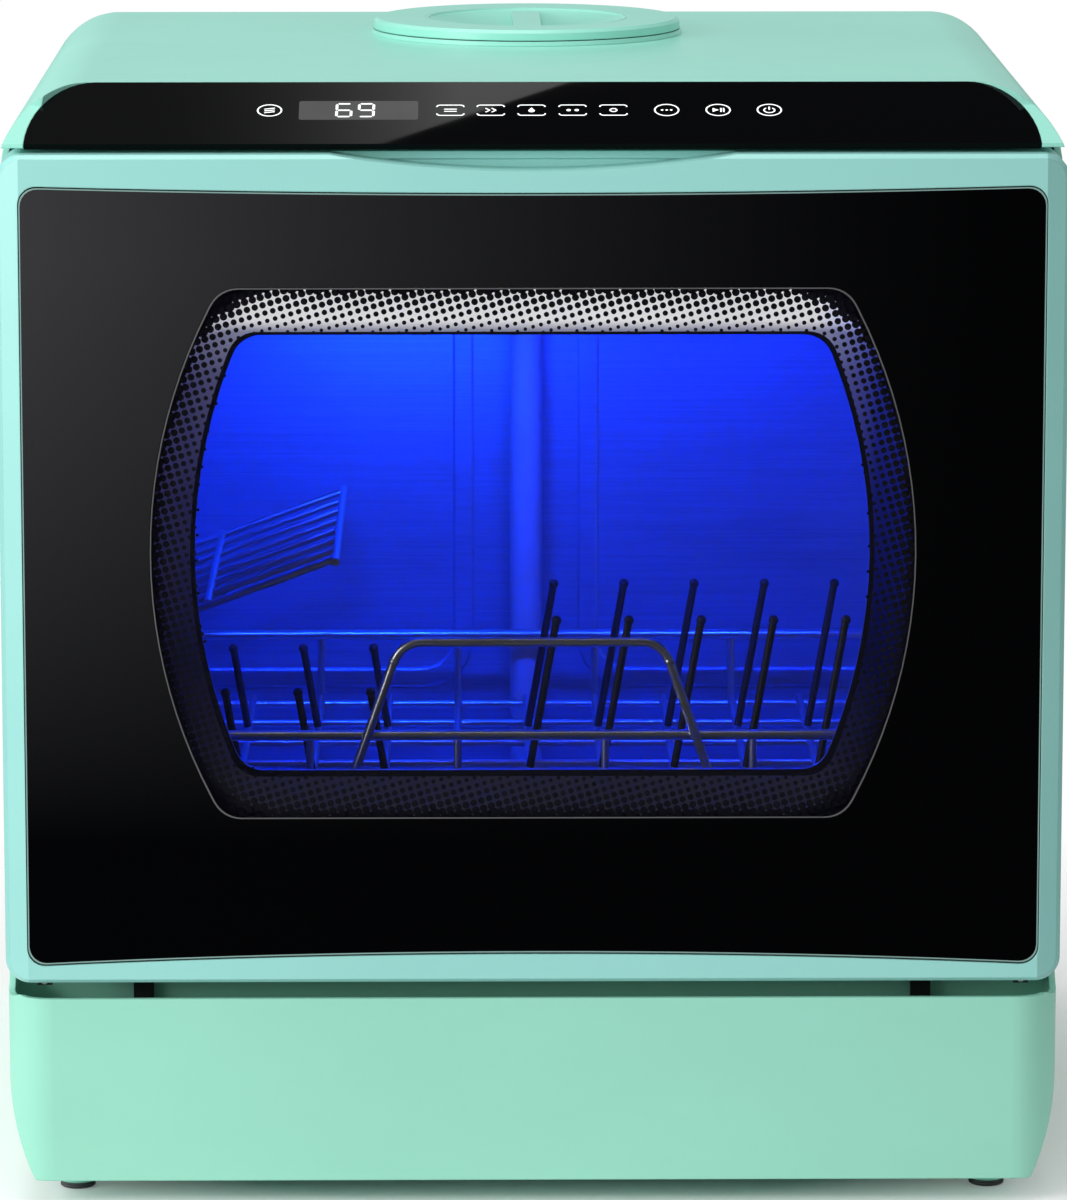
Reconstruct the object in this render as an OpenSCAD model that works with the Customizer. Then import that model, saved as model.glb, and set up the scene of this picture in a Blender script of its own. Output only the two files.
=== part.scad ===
// Countertop dishwasher with a drop-down glass door, a pull-out wire rack and a fill port on top.
// Millimetres. The origin is the middle of the footprint on the counter: +X right, +Y to the rear, +Z up.

/* [Cabinet] */
// Width of the cabinet, the door and the base
body_w = 420; // [400:1:480]
// Height of the flat top above the counter
body_h = 445; // [430:1:540]
// Depth from the door's front face to the cabinet's rear edge
case_d = 374; // [360:1:460]
// Wall thickness of the moulded housings
wall = 2.6; // [2:0.1:3.2]
// Radius of the cabinet's two long top edges
corner_r = 32; // [20:1:40]
// How far the hose connectors stand out behind the cabinet
port_reach = 26; // [22:1:40]

/* [Base] */
// Height of the underside above the counter
base_z = 10; // [8:0.5:14]
// Height of the base's front lip
lip_z = 84.6; // [80:0.2:86]
// Height of the joint between the base and the cabinet, level with the door's lower edge
seam_z = 91; // [90:0.5:94]
// Radius of the base's upright front corners
base_corner_r = 18; // [10:1:24]
// Radius of the curve that draws in the base's lower sides
base_side_r = 100; // [70:1:140]
// Height at which that curve starts
base_side_z = 55; // [45:1:60]
// Distance of the feet from the middle line
foot_x = 184; // [150:1:190]
// Diameter of a rubber foot
foot_d = 15; // [12:0.5:17]
// Height of the rubber that shows below the foot boss
foot_h = 6; // [4:0.5:7.5]

/* [Door] */
// Thickness of the closed door
door_t = 36; // [34:0.5:40]
// Gap between the door's top edge and the control nose
door_gap = 2; // [1.6:0.1:3]
// Corner radius of the door's outline
door_r = 10; // [6:0.5:14]
// Width of the door frame beside the glass
bezel_side = 9; // [8:0.5:14]
// Thickness of the outer glass
glass_t = 4; // [3:0.5:4]
// Distance from the door's front face back to the hinge axis
hinge_back = 12; // [12:0.1:12.4]
// Height of the hinge axis above the door's lower edge
hinge_up = 8; // [7.5:0.1:8]
// Distance of each hinge from the middle line
hinge_x = 157; // [140:1:170]
// Radius of the hinge pin
pin_r = 3; // [2.5:0.1:3.2]
// Widest half width of the window's outer outline
window_mid = 151; // [130:1:160]
// Half width of the window's outline at its corners
window_end = 129; // [110:1:135]
// Height of the window's outer outline
window_h = 212; // [180:1:230]

/* [Control nose] */
// Front to back length of the sloping panel
panel_run = 48; // [40:1:56]
// Setback of the panel's lower edge from the door's front face
nose_set = 8; // [6:0.5:10]
// Rise of the sloping panel
panel_rise = 19.5; // [16:0.5:20]
// Half width of the panel glass
panel_half = 199; // [180:1:199]

/* [Wash tub] */
// Inside width of the tub
tub_w = 384; // [364:1:384]
// Height of the tub floor
tub_floor = 114; // [112:1:118]
// Inside depth of the tub
tub_d = 268; // [256:1:268]
// Thickness of the tub's sheet
tub_t = 2; // [1.5:0.1:2]
// Space left above the tub for the tank, the fan and the board
top_space = 33; // [31:1:40]

/* [Rack] */
// Height of the rack's floor wires
rack_z = 150; // [146:1:156]
// Height of the rack's upper rail above its floor
rail_up = 28; // [20:1:40]
// Diameter of the thick wires
wire_d = 4.4; // [3.6:0.2:5]
// Diameter of the thin wires
thin_d = 3.2; // [2.6:0.2:3.6]
// Height of the hoop at the front of the rack above the rail
hoop_up = 39; // [25:1:60]
// Height of the plate tines
tine_h = 62; // [40:1:80]

/* [Spray arms] */
// Reach of each spray arm from its axis
arm_reach = 116; // [90:1:118]
// Width of a spray arm
arm_w = 26; // [20:1:32]
// Radius of a spray arm's bearing post
post_r = 5.95; // [5:0.05:7]
// Radial running clearance of the turning parts
run_gap = 0.05; // [0.03:0.01:0.08]

/* [Fill port] */
// Diameter of the round lid on top
lid_d = 131; // [110:1:136]
// Distance of the lid's middle behind the door's front face
lid_back = 270; // [240:1:280]
// Radius of the hole under the lid
fill_r = 40; // [30:1:42]

/* [Connectors] */
// Radius over the thread of the water inlet
inlet_r = 13.2; // [10:0.1:16]
// Radius of the drain spigot
drain_r = 9; // [8:0.1:11]
// Radius of the mains lead's hole in its gland
cord_r = 3.8; // [3:0.1:5]

/* [Hidden] */
$fn = 64;
eps = 0.05;
fit_gap = 0.3;
mint = [0.56, 0.86, 0.77];
mint_dark = [0.46, 0.76, 0.67];
black = [0.05, 0.05, 0.06];
steel = [0.72, 0.74, 0.76];
rubber = [0.12, 0.12, 0.13];
clear = [0.8, 0.9, 1, 0.5];

// Planes across the depth
front_y = -(case_d + port_reach) / 2;
case_y = front_y + case_d;
end_y = case_y + port_reach;
door_rear = front_y + door_t;
cab_front = door_rear + 2;
frame_front = door_rear + 6;
frame_t = 8;
tub_front = frame_front + frame_t;
tub_back = tub_front + tub_d;
hinge_y = front_y + hinge_back;

// Heights
hinge_z = seam_z + hinge_up;
nose_lip = 1.5;
nose_z = body_h - panel_rise - nose_lip;
door_top = nose_z - door_gap;
tub_top = body_h - top_space;
tub_mid_z = (tub_floor + tub_top) / 2;
door_mid_z = (seam_z + door_top) / 2;
swing_r = sqrt(hinge_back * hinge_back + hinge_up * hinge_up) + 0.6;
trough_z = 66;
trough_back = frame_front;

// Door glass and window
glass_half = body_w / 2 - bezel_side;
glass_low = seam_z + 7.1;
glass_high = door_top - 12.3;
glass_bow_low = 4.8;
glass_bow_high = 2.8;
glass_r = 7;
ledge_t = 3.5;
glass_back = front_y + glass_t + 0.4;
window_mid_z = seam_z + 172.8;
window_r = 12;
inner_window_h = window_h - 33;
inner_window_mid = window_mid - 15;
inner_window_end = window_end - 12;
inner_window_z = window_mid_z - 5;
pane_t = 4;
pane_ledge = 1.4;
panel_plate_t = 2;
pane_back = door_rear - panel_plate_t - 1;

// Finger scoop in the door's top edge
scoop_w = 159;
scoop_h = 6.4;
scoop_depth = 15;
scoop_r = (scoop_w * scoop_w / 4 + scoop_h * scoop_h) / (2 * scoop_h);

// Hinges
bracket_w = 8;
bush_wall = 1;
bush_bore_r = pin_r + run_gap;
bracket_ring_r = pin_r + bush_wall + 3;
clevis_t = 6;
clevis_gap = 2;
clevis_in = bracket_w / 2 + clevis_gap;
clevis_out = clevis_in + clevis_t;
notch_w = 2 * clevis_out + 1;
notch_up = hinge_up + bracket_ring_r + 0.5;

// Control panel
panel_len = sqrt(panel_run * panel_run + panel_rise * panel_rise);
panel_angle = atan(panel_rise / panel_run);
panel_glass_t = 2.4;
nose_skin = 5.2;
panel_corner_w = 26;
board_low = 18;
board_high = 46;
display_x = -68.5;
display_l = 29;
display_w = 47;
display_h = 15;

// Fill port
lid_y = front_y + lid_back;
collar_h = 2;
lid_gap = 0.4;
lid_t = 4.4;
lid_dish_r = 44;
lid_dish_depth = 7;
chamber_low = tub_top + tub_t + 3;
chamber_high = body_h - wall - 1;

// Water tank
tank_w = body_w - 40;
tank_front = tub_back + tub_t + 2;
tank_back = case_y - wall - 9;
tank_low = seam_z + 12;
tank_wall = 2;

// Sump, filter and pumps
arm_y = tub_front + 130;
sump_half = 95;
sump_front = arm_y - 105;
sump_rear = arm_y + 65;
sump_low = 70;
sump_t = 2.5;
well_x = 40;
well_y = arm_y - 20;
well_r = 30;
well_low = 30;
pump_z = 50;
pump_x = 100;
pump_r = 32;
volute_w = 25;
motor_r = 29;
motor_len = 58;
shaft_r = 3;
drain_pump_y = well_y + 50;
drain_pump_r = 19.4;
drain_volute_w = 18;
drain_motor_len = 40;
filter_x = -60;
filter_y = arm_y - 70;
filter_r = 27.8;
filter_plate_t = 1.6;
port_z = 42;
inlet_flange_r = inlet_r + 2.4;
drain_x = -120;
inlet_x = 120;
cord_x = 172;
cord_z = port_z;

// Spray arms
arm_low = tub_floor + 16;
arm_t = 9;
upper_arm_z = tub_top - 28;
hub_r = 15;

// Rack
rack_half = tub_w / 2 - 12;
rack_front = tub_front + 18;
rack_rear = rack_front + 226;
rail_z = rack_z + rail_up;
floor_wires = 13;
cross_wires = 6;
glide_h = 5;
runner_w = 9;
rail_corner_r = 14;
hoop_lean = 70.5;
hoop_foot = 76;
hoop_foot_z = rack_z + thin_d / 2 + 0.2;

// Fan
fan_x = -128;
fan_y = arm_y + 38;
fan_r = 48;
fan_low = tub_top + tub_t + 0.1;
fan_high = body_h - wall - 2;
blade_r = 40;

// Cup shelf
shelf_tilt = 20;
shelf_x = -(tub_w / 2 - 7);
shelf_z = 205;
shelf_w = 112;
shelf_len = 190;
shelf_y = arm_y + 18;
shelf_wires = 8;
clip_in = 8 + (shelf_len - 16) / (shelf_wires - 1) / 2;

// Cavity lamps
lamp_w = 70;
lamp_d = 16;
lamp_y = tub_front + 34;

// ---- Shared shapes ----

// Rectangle with round corners, centred
module round_rect(w, h, r) {
    square([w - 2 * r, h], center = true);
    square([w, h - 2 * r], center = true);
    for (x = [-1, 1], y = [-1, 1]) translate([x * (w / 2 - r), y * (h / 2 - r)]) circle(r);
}

// Extrudes an outline drawn in X and Z from one depth to another
module along_y(y0, y1) {
    translate([0, y1, 0]) rotate([90, 0, 0]) linear_extrude(height = y1 - y0) children();
}

// Extrudes an outline drawn in Y and Z from one width to another
module along_x(x0, x1) {
    translate([x0, 0, 0]) rotate([90, 0, 90]) linear_extrude(height = x1 - x0) children();
}

// Rod from one point to another
module rod(a, b, r) {
    d = b - a;
    flat = norm([d[0], d[1]]);
    translate(a) rotate([0, atan2(flat, d[2]), atan2(d[1], d[0])]) cylinder(r = r, h = norm(d));
}

// Rods through a list of points, with a ball at each bend
module pipe(points, r) {
    for (i = [0:len(points) - 2]) rod(points[i], points[i + 1], r);
    for (i = [1:1:len(points) - 2]) translate(points[i]) sphere(r);
}

// Both sides of the middle line
module each_side() {
    for (s = [-1, 1]) translate([s * hinge_x, 0, 0]) children();
}

// ---- Housings ----

// Cabinet outline in X and Z: straight sides and two rounded top corners
module cabinet_section(inset, low) {
    half = body_w / 2 - inset;
    r = corner_r - inset;
    top = body_h - inset;
    translate([-half, low]) square([2 * half, top - r - low]);
    translate([-(half - r), low]) square([2 * (half - r), top - low]);
    for (s = [-1, 1]) translate([s * (half - r), top - r]) circle(r);
}

// Cabinet outline in Y and Z, with the control nose standing over the door
module cabinet_profile() {
    edge_r = 5;
    translate([cab_front, seam_z]) square([case_y - edge_r - cab_front, body_h - seam_z]);
    translate([cab_front, seam_z]) square([case_y - cab_front, body_h - edge_r - seam_z]);
    translate([case_y - edge_r, body_h - edge_r]) circle(edge_r);
    polygon([
        [front_y + nose_set, nose_z],
        [front_y + nose_set, nose_z + nose_lip],
        [front_y + nose_set + panel_run, body_h],
        [front_y + nose_set + panel_run + 4, body_h],
        [front_y + nose_set + panel_run + 4, nose_z]
    ]);
}

// The hollow inside the cabinet, open below and in front under the nose
module cabinet_hollow() {
    nose_back = front_y + nose_set + panel_run;
    slope_y = front_y + nose_set + nose_skin * sin(panel_angle);
    slope_z = nose_z + nose_lip - nose_skin * cos(panel_angle);
    floor_z = nose_z + wall;
    floor_y = slope_y + (floor_z - slope_z) / tan(panel_angle);
    roof_y = slope_y + (body_h - wall - slope_z) / tan(panel_angle);
    translate([cab_front - 1, seam_z - 1]) square([case_y - wall - cab_front + 1, nose_z - seam_z + 1]);
    translate([tub_front, seam_z]) square([case_y - wall - tub_front, body_h - wall - seam_z]);
    polygon([[floor_y, floor_z], [roof_y, body_h - wall], [roof_y + 4, body_h - wall],
        [roof_y + 4, floor_z]]);
}

// Outline of the control panel's glass, in the plane of the slope
function panel_corner(half, len, side) = [
    for (i = [0:12]) let (a = side > 0 ? i * 7.5 : 90 - i * 7.5)
        [side * (half - panel_corner_w + panel_corner_w * cos(a)), len * sin(a)]
];
module panel_outline(grow) {
    polygon(concat(
        [[panel_half + grow, -1]],
        panel_corner(panel_half + grow, panel_len + grow, 1),
        panel_corner(panel_half + grow, panel_len + grow, -1),
        [[-(panel_half + grow), -1]]
    ));
}
module panel_glass_outline() {
    intersection() {
        panel_outline(0);
        translate([-panel_half, 0.2]) square([2 * panel_half, panel_len]);
    }
}

// Places what lies on the sloping panel: local Y runs up the slope and local Z out of it
module on_panel() {
    translate([0, front_y + nose_set, nose_z + nose_lip]) rotate([panel_angle, 0, 0]) children();
}

rear_open_half = body_w / 2 - 20;
rear_open_high = body_h - 18;
rear_open_low = port_z - inlet_flange_r - 0.4;

module cabinet_shell() {
    color(mint) difference() {
        intersection() {
            along_y(front_y, case_y) cabinet_section(0, seam_z);
            along_x(-body_w / 2, body_w / 2) cabinet_profile();
        }
        intersection() {
            along_y(front_y - 1, case_y - wall) cabinet_section(wall, seam_z - 2);
            along_x(-body_w / 2, body_w / 2) cabinet_hollow();
        }
        on_panel() translate([0, 0, -panel_glass_t - 0.1]) linear_extrude(height = 10) panel_outline(0.2);
        on_panel() translate([-165, board_low, -9]) cube([330, board_high - board_low, 10]);
        translate([0, lid_y, body_h - wall - 2]) cylinder(r = fill_r + 3 + fit_gap, h = wall + 4);
        translate([-rear_open_half, case_y - wall - 1, seam_z - 1])
            cube([2 * rear_open_half, wall + 2, rear_open_high - seam_z + 1]);
        for (x = [-1, 1], z = [0.42, 0.95]) cover_screw_hole(x, z);
        cover_screw_hole(-0.34, 1.02);
        cover_screw_hole(0.34, 1.02);
    }
}

// Screw places on the rear flange, as shares of the cabinet's half width and height
function screw_x(x) = abs(x) == 1 ? x * (rear_open_half + 4) : x * body_w / 2;
function screw_z(z) = z > 1 ? rear_open_high + 4 : z * body_h;
module cover_screw_hole(x, z) {
    translate([screw_x(x), case_y - wall - 2, screw_z(z)]) rotate([-90, 0, 0])
        cylinder(r = 1.6, h = wall + 3);
}
cover_screws = [[-1, 0.12], [1, 0.12], [-1, 0.42], [1, 0.42], [-1, 0.95], [1, 0.95], [-0.34, 1.02],
    [0.34, 1.02]];

// Base outline in X and Z: upright sides that curve in below
module base_section(inset, low, high) {
    half = body_w / 2 - inset;
    r = base_side_r - inset;
    curve_x = body_w / 2 - base_side_r;
    translate([-half, base_side_z]) square([2 * half, high - base_side_z]);
    translate([-curve_x, low]) square([2 * curve_x, base_side_z - low + eps]);
    intersection() {
        union() for (s = [-1, 1]) translate([s * curve_x, base_side_z]) circle(r);
        translate([-half, low]) square([2 * half, base_side_z - low + eps]);
    }
}

// Base outline from above, with larger corners at the front
module base_plan(inset) {
    half = body_w / 2 - inset;
    rf = base_corner_r - inset;
    rr = 8 - inset;
    y0 = front_y + inset;
    y1 = case_y - inset;
    translate([-(half - rf), y0]) square([2 * (half - rf), y1 - y0 - rr]);
    translate([-half, y0 + rf]) square([2 * half, y1 - y0 - rf - rr]);
    translate([-(half - rr), y1 - rr - eps]) square([2 * (half - rr), rr + eps]);
    for (s = [-1, 1]) {
        translate([s * (half - rf), y0 + rf]) circle(rf);
        translate([s * (half - rr), y1 - rr]) circle(rr);
    }
}
module base_block(inset, low, high) {
    intersection() {
        along_y(front_y - 1, case_y + 1) base_section(inset, low, high);
        translate([0, 0, low - 1]) linear_extrude(height = high - low + 2) base_plan(inset);
    }
}

module base_shell() {
    deck_open = 165;
    color(mint) difference() {
        base_block(0, base_z, seam_z);
        difference() {
            base_block(wall, base_z - 1, seam_z - wall);
            translate([-body_w / 2, front_y - 1, trough_z - wall])
                cube([body_w, trough_back + 3 - front_y + 1, seam_z]);
        }
        translate([0, 0, trough_z]) linear_extrude(height = seam_z) intersection() {
            base_plan(wall);
            translate([-body_w / 2, front_y]) square([body_w, trough_back - front_y]);
        }
        translate([0, 0, door_mid_z]) along_y(front_y - 1, front_y + hinge_back) round_rect(
            body_w + 2 * (seam_z - lip_z), door_top - seam_z + 2 * (seam_z - lip_z), door_r + seam_z - lip_z);
        rotate([0, 90, 0]) translate([-hinge_z, hinge_y, -body_w / 2 - 1])
            cylinder(r = swing_r, h = body_w + 2);
        translate([-deck_open, tub_front + 14, seam_z - wall - 1])
            cube([2 * deck_open, tub_d - 20, wall + 2]);
        translate([-rear_open_half, case_y - wall - 1, rear_open_low])
            cube([2 * rear_open_half, wall + 2, seam_z - rear_open_low + 1]);
        for (x = [-1, 1]) cover_screw_hole(x, 0.12);
    }
}

pan_t = 2;
foot_y = [front_y + 31, case_y - 34];
module bottom_pan() {
    boss_h = base_z - foot_h;
    color(mint_dark) difference() {
        union() {
            intersection() {
                base_block(wall + 0.2, base_z, base_z + pan_t);
                translate([-body_w / 2, front_y, base_z]) cube([body_w, case_d, pan_t]);
            }
            for (x = [-foot_x, foot_x], y = foot_y) translate([x, y, foot_h])
                cylinder(d = foot_d + 3, h = boss_h + pan_t);
            for (s = [-1, 1]) translate([s * (foot_x - 21), foot_y[0], base_z - 2.5]) cylinder(d = 21, h = 3);
        }
        for (x = [-foot_x, foot_x], y = foot_y) translate([x, y, foot_h - 1]) cylinder(r = 3, h = 10);
        for (i = [-4:4]) translate([i * 22 - 3, case_y - 130, base_z - 1]) cube([6, 60, pan_t + 2]);
    }
}

module rubber_feet() {
    color(rubber) for (x = [-foot_x, foot_x], y = foot_y) translate([x, y, 0]) {
        cylinder(d1 = foot_d - 1.6, d2 = foot_d, h = 1.2);
        translate([0, 0, 1.2 - eps]) cylinder(d = foot_d, h = foot_h - 1.2 - 0.1 + eps);
        cylinder(r = 2.9, h = foot_h + 7);
    }
}

cover_t = 2.2;
module rear_cover() {
    cover_half = rear_open_half + 9;
    cover_low = rear_open_low - 8;
    cover_high = rear_open_high + 9;
    y0 = case_y + 0.1;
    color(mint_dark) difference() {
        translate([0, 0, (cover_low + cover_high) / 2])
            along_y(y0, y0 + cover_t) round_rect(2 * cover_half, cover_high - cover_low, 6);
        for (row = [0:7], col = [-1, 0]) translate([col * 64 - 96, y0 - 1, 352 + row * 8]) cube([54, 5, 3.4]);
        for (row = [0:5]) translate([40, y0 - 1, 96 + row * 8]) cube([110, 5, 3.4]);
        for (s = cover_screws) translate([screw_x(s[0]), y0 - 1, screw_z(s[1])]) rotate([-90, 0, 0])
            cylinder(r = 2, h = 5);
        translate([drain_x, y0 - 1, port_z]) rotate([-90, 0, 0]) cylinder(r = drain_r + 3.2, h = 5);
        translate([inlet_x, y0 - 1, port_z]) rotate([-90, 0, 0]) cylinder(r = inlet_r + 1.2, h = 5);
        translate([cord_x, y0 - 1, cord_z]) rotate([-90, 0, 0]) cylinder(r = cord_r + 3.4, h = 5);
    }
}

module rear_cover_screws() {
    y0 = case_y + 0.1 + cover_t;
    color(steel) for (s = cover_screws) translate([screw_x(s[0]), y0 + 2.2, screw_z(s[1])])
        rotate([90, 0, 0]) {
        difference() {
            cylinder(r = 3.6, h = 2.1);
            translate([-0.5, -2.4, -1]) cube([1, 4.8, 2]);
            translate([-2.4, -0.5, -1]) cube([4.8, 1, 2]);
        }
        cylinder(r = 1.5, h = 9.5);
    }
}

// ---- Control panel ----

module control_glass() {
    color(black) on_panel() translate([0, 0, -panel_glass_t]) linear_extrude(height = panel_glass_t)
        panel_glass_outline();
}

module control_tray() {
    color(black) on_panel() difference() {
        translate([-164.5, board_low + 0.5, -nose_skin])
            cube([329, board_high - board_low - 1, nose_skin - panel_glass_t - 0.2]);
        translate([display_x - display_w / 2 - 0.5, display_l - display_h / 2 - 0.5, -9])
            cube([display_w + 1, display_h + 1, 9]);
    }
}

module control_board() {
    color([0.1, 0.35, 0.2]) on_panel() translate([-160, board_low + 5, -nose_skin - 1.8])
        cube([320, board_high - board_low - 7, 1.6]);
}

module display_module() {
    color([0.2, 0.2, 0.22]) on_panel()
        translate([display_x - display_w / 2, display_l - display_h / 2, -nose_skin - 0.1])
        cube([display_w, display_h, nose_skin - panel_glass_t - 0.1]);
}

module power_board() {
    board_z = tub_top + tub_t + 6;
    color([0.1, 0.35, 0.2]) translate([95, arm_y - 40, board_z]) cube([90, 100, 1.6]);
    color([0.15, 0.15, 0.17]) {
        translate([102, arm_y - 30, board_z + 1.6]) cube([26, 30, 12]);
        translate([140, arm_y - 30, board_z + 1.6]) cube([16, 12, 10]);
        translate([160, arm_y - 30, board_z + 1.6]) cube([16, 12, 10]);
        translate([150, arm_y + 35, board_z + 1.6]) cylinder(r = 8, h = 11);
    }
    color([0.85, 0.85, 0.8]) for (x = [100, 176], y = [arm_y - 34, arm_y + 54])
        translate([x, y, tub_top + tub_t]) cylinder(r = 3, h = 6);
}

// ---- Wash tub and what it carries ----

module tub() {
    outer_w = tub_w + 2 * tub_t;
    inner_h = tub_top - tub_floor;
    color(steel) difference() {
        translate([0, 0, tub_mid_z]) along_y(tub_front, tub_back + tub_t)
            round_rect(outer_w, inner_h + 2 * tub_t, 18);
        translate([0, 0, tub_mid_z]) along_y(tub_front - 1, tub_back) round_rect(tub_w, inner_h, 16);
        translate([-(sump_half - 6), sump_front + 6, tub_floor - tub_t - 1])
            cube([2 * (sump_half - 6), sump_rear - sump_front - 12, tub_t + 2]);
        translate([fan_x + fan_r + 3, fan_y - 10, tub_top - 1]) cube([18, 20, tub_t + 2]);
        for (s = [-1, 1]) translate([s * 90 - lamp_w / 2, lamp_y - lamp_d / 2, tub_top - 1])
            cube([lamp_w, lamp_d, tub_t + 2]);
    }
}

module tub_front_frame() {
    mouth_w = tub_w - 4;
    mouth_h = tub_top - tub_floor - 4;
    color(steel) difference() {
        along_y(frame_front, frame_front + frame_t) intersection() {
            cabinet_section(wall + fit_gap, seam_z + fit_gap);
            translate([-body_w / 2, seam_z]) square([body_w, nose_z - seam_z - fit_gap]);
        }
        translate([0, 0, tub_mid_z]) along_y(frame_front - 1, frame_front + frame_t + 1)
            round_rect(mouth_w, mouth_h, 15);
        translate([-9, frame_front - 1, hook_z - 1.2]) cube([18, frame_t + 2, nose_z - fit_gap - hook_z]);
    }
}

gasket_w = 7;
gasket_low = seam_z + 16;
gasket_high = tub_top + 2.6;
module door_gasket() {
    gh = gasket_high - gasket_low;
    color(rubber) translate([0, 0, (gasket_low + gasket_high) / 2]) difference() {
        along_y(door_rear + fit_gap, frame_front) round_rect(tub_w + 18, gh, 20);
        along_y(door_rear - 1, frame_front + 1)
            round_rect(tub_w + 18 - 2 * gasket_w, gh - 2 * gasket_w, 20 - gasket_w);
    }
}

module rack_runners() {
    color([0.9, 0.9, 0.9]) for (s = [-1, 1])
        translate([s * (tub_w / 2 - runner_w / 2 - 0.1) - runner_w / 2, rack_front - 6, rack_z - glide_h - 6])
            cube([runner_w, rack_rear - rack_front + 6, 4]);
}

module sump() {
    color([0.25, 0.27, 0.3]) difference() {
        union() {
            translate([0, (sump_front + sump_rear) / 2, sump_low])
                linear_extrude(height = tub_floor - tub_t - 0.1 - sump_low)
                    round_rect(2 * sump_half, sump_rear - sump_front, 14);
            translate([well_x, well_y, well_low]) cylinder(r = well_r, h = sump_low - well_low + 1);
            translate([well_x, well_y, pump_z]) rotate([0, 90, 0])
                cylinder(r = 12, h = pump_x - well_x - 0.2);
            translate([well_x, well_y, pump_z]) rotate([-90, 0, 0])
                cylinder(r = 10, h = drain_pump_y - well_y - 0.2);
        }
        translate([0, (sump_front + sump_rear) / 2, sump_low + sump_t])
            linear_extrude(height = 60) round_rect(2 * (sump_half - sump_t),
                sump_rear - sump_front - 2 * sump_t, 11.5);
        translate([well_x, well_y, well_low + sump_t]) cylinder(r = well_r - sump_t, h = sump_low);
        translate([well_x, well_y, pump_z]) rotate([0, 90, 0]) cylinder(r = 9.5, h = 80);
        translate([well_x, well_y, pump_z]) rotate([-90, 0, 0]) cylinder(r = 7.5, h = 60);
        for (s = [-1, 1]) translate([s * 9, arm_y + 50, sump_low + 14]) rotate([-90, 0, 0])
            cylinder(r = 3.3, h = 20);
    }
}

module filter_plate() {
    plate_half = sump_half - 8;
    color(steel) difference() {
        translate([-plate_half, sump_front + 8, tub_floor - filter_plate_t - 0.2])
            cube([2 * plate_half, sump_rear - sump_front - 16, filter_plate_t]);
        translate([0, arm_y, tub_floor - 5]) cylinder(r = hub_r - 2, h = 10);
        translate([filter_x, filter_y, tub_floor - 5]) cylinder(r = filter_r + 0.6, h = 10);
        translate([0, arm_y + 36, tub_floor - 5]) cylinder(r = 8, h = 10);
        for (i = [0:8], j = [0:4]) translate([10 + i * 8, sump_front + 20 + j * 8, tub_floor - 5])
            cylinder(r = 1.6, h = 10);
    }
}

// The fine filter twists a quarter turn in its seat and lifts out
module filter_basket() {
    mesh_low = sump_low + 8;
    rim_z = tub_floor + 0.3;
    color([0.8, 0.82, 0.84]) translate([filter_x, filter_y, 0]) difference() {
        union() {
            translate([0, 0, mesh_low]) cylinder(r = filter_r, h = rim_z - mesh_low + 1);
            translate([0, 0, rim_z]) cylinder(r = filter_r + 4, h = 2);
            translate([-filter_r + 2, -3, rim_z + 1]) cube([2 * filter_r - 4, 6, 7.5]);
        }
        difference() {
            translate([0, 0, mesh_low + 2]) cylinder(r = filter_r - 2, h = 60);
            translate([-filter_r, -3, rim_z + 3]) cube([2 * filter_r, 6, 6]);
        }
        for (a = [0:30:330], k = [0:2]) rotate([0, 0, a]) translate([0, -2.5, mesh_low + 5 + k * 9])
            cube([filter_r + 5, 5, 5.5]);
    }
}

module heating_element() {
    color([0.5, 0.42, 0.36]) translate([0, arm_y, sump_low + 14]) {
        rotate_extrude() translate([45, 0]) circle(3.6);
        for (s = [-1, 1]) translate([s * 9, 45, 0]) rotate([-90, 0, 0]) cylinder(r = 3, h = 25);
    }
}

// ---- Pumps ----

module wash_pump_housing() {
    color([0.3, 0.32, 0.35]) translate([pump_x, well_y, pump_z]) rotate([0, 90, 0]) difference() {
        union() {
            cylinder(r = pump_r, h = volute_w);
            translate([0, pump_r - 11, volute_w / 2]) rotate([0, -90, 0]) cylinder(r = 9, h = 58);
        }
        translate([0, 0, 2.5]) cylinder(r = pump_r - 2.5, h = volute_w - 5);
        translate([0, 0, -1]) cylinder(r = 9.5, h = 5);
        translate([0, 0, volute_w - 4]) cylinder(r = shaft_r + 0.4, h = 6);
        translate([0, pump_r - 11, volute_w / 2]) rotate([0, -90, 0]) cylinder(r = 6.5, h = 60);
    }
}

module wash_pump_motor() {
    color([0.35, 0.36, 0.38]) translate([pump_x + volute_w + 0.1, well_y, pump_z]) rotate([0, 90, 0])
        difference() {
        union() {
            cylinder(r = motor_r, h = motor_len);
            translate([0, 0, motor_len - 1]) cylinder(r = 12, h = 8);
            for (a = [0:45:315]) rotate([0, 0, a]) translate([motor_r - 1, -1, 6])
                cube([3, 2, motor_len - 12]);
        }
        translate([0, 0, -1]) cylinder(r = shaft_r + run_gap, h = 32);
    }
}

module wash_pump_impeller() {
    color([0.85, 0.85, 0.82]) translate([pump_x, well_y, pump_z]) rotate([0, 90, 0]) {
        translate([0, 0, 5]) cylinder(r = shaft_r, h = volute_w + 22);
        translate([0, 0, 15]) cylinder(r = pump_r - 6, h = 3);
        for (a = [0:60:300]) rotate([0, 0, a]) translate([shaft_r - 1, -1.2, 5])
            cube([pump_r - 6 - shaft_r, 2.4, 11]);
    }
}

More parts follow.
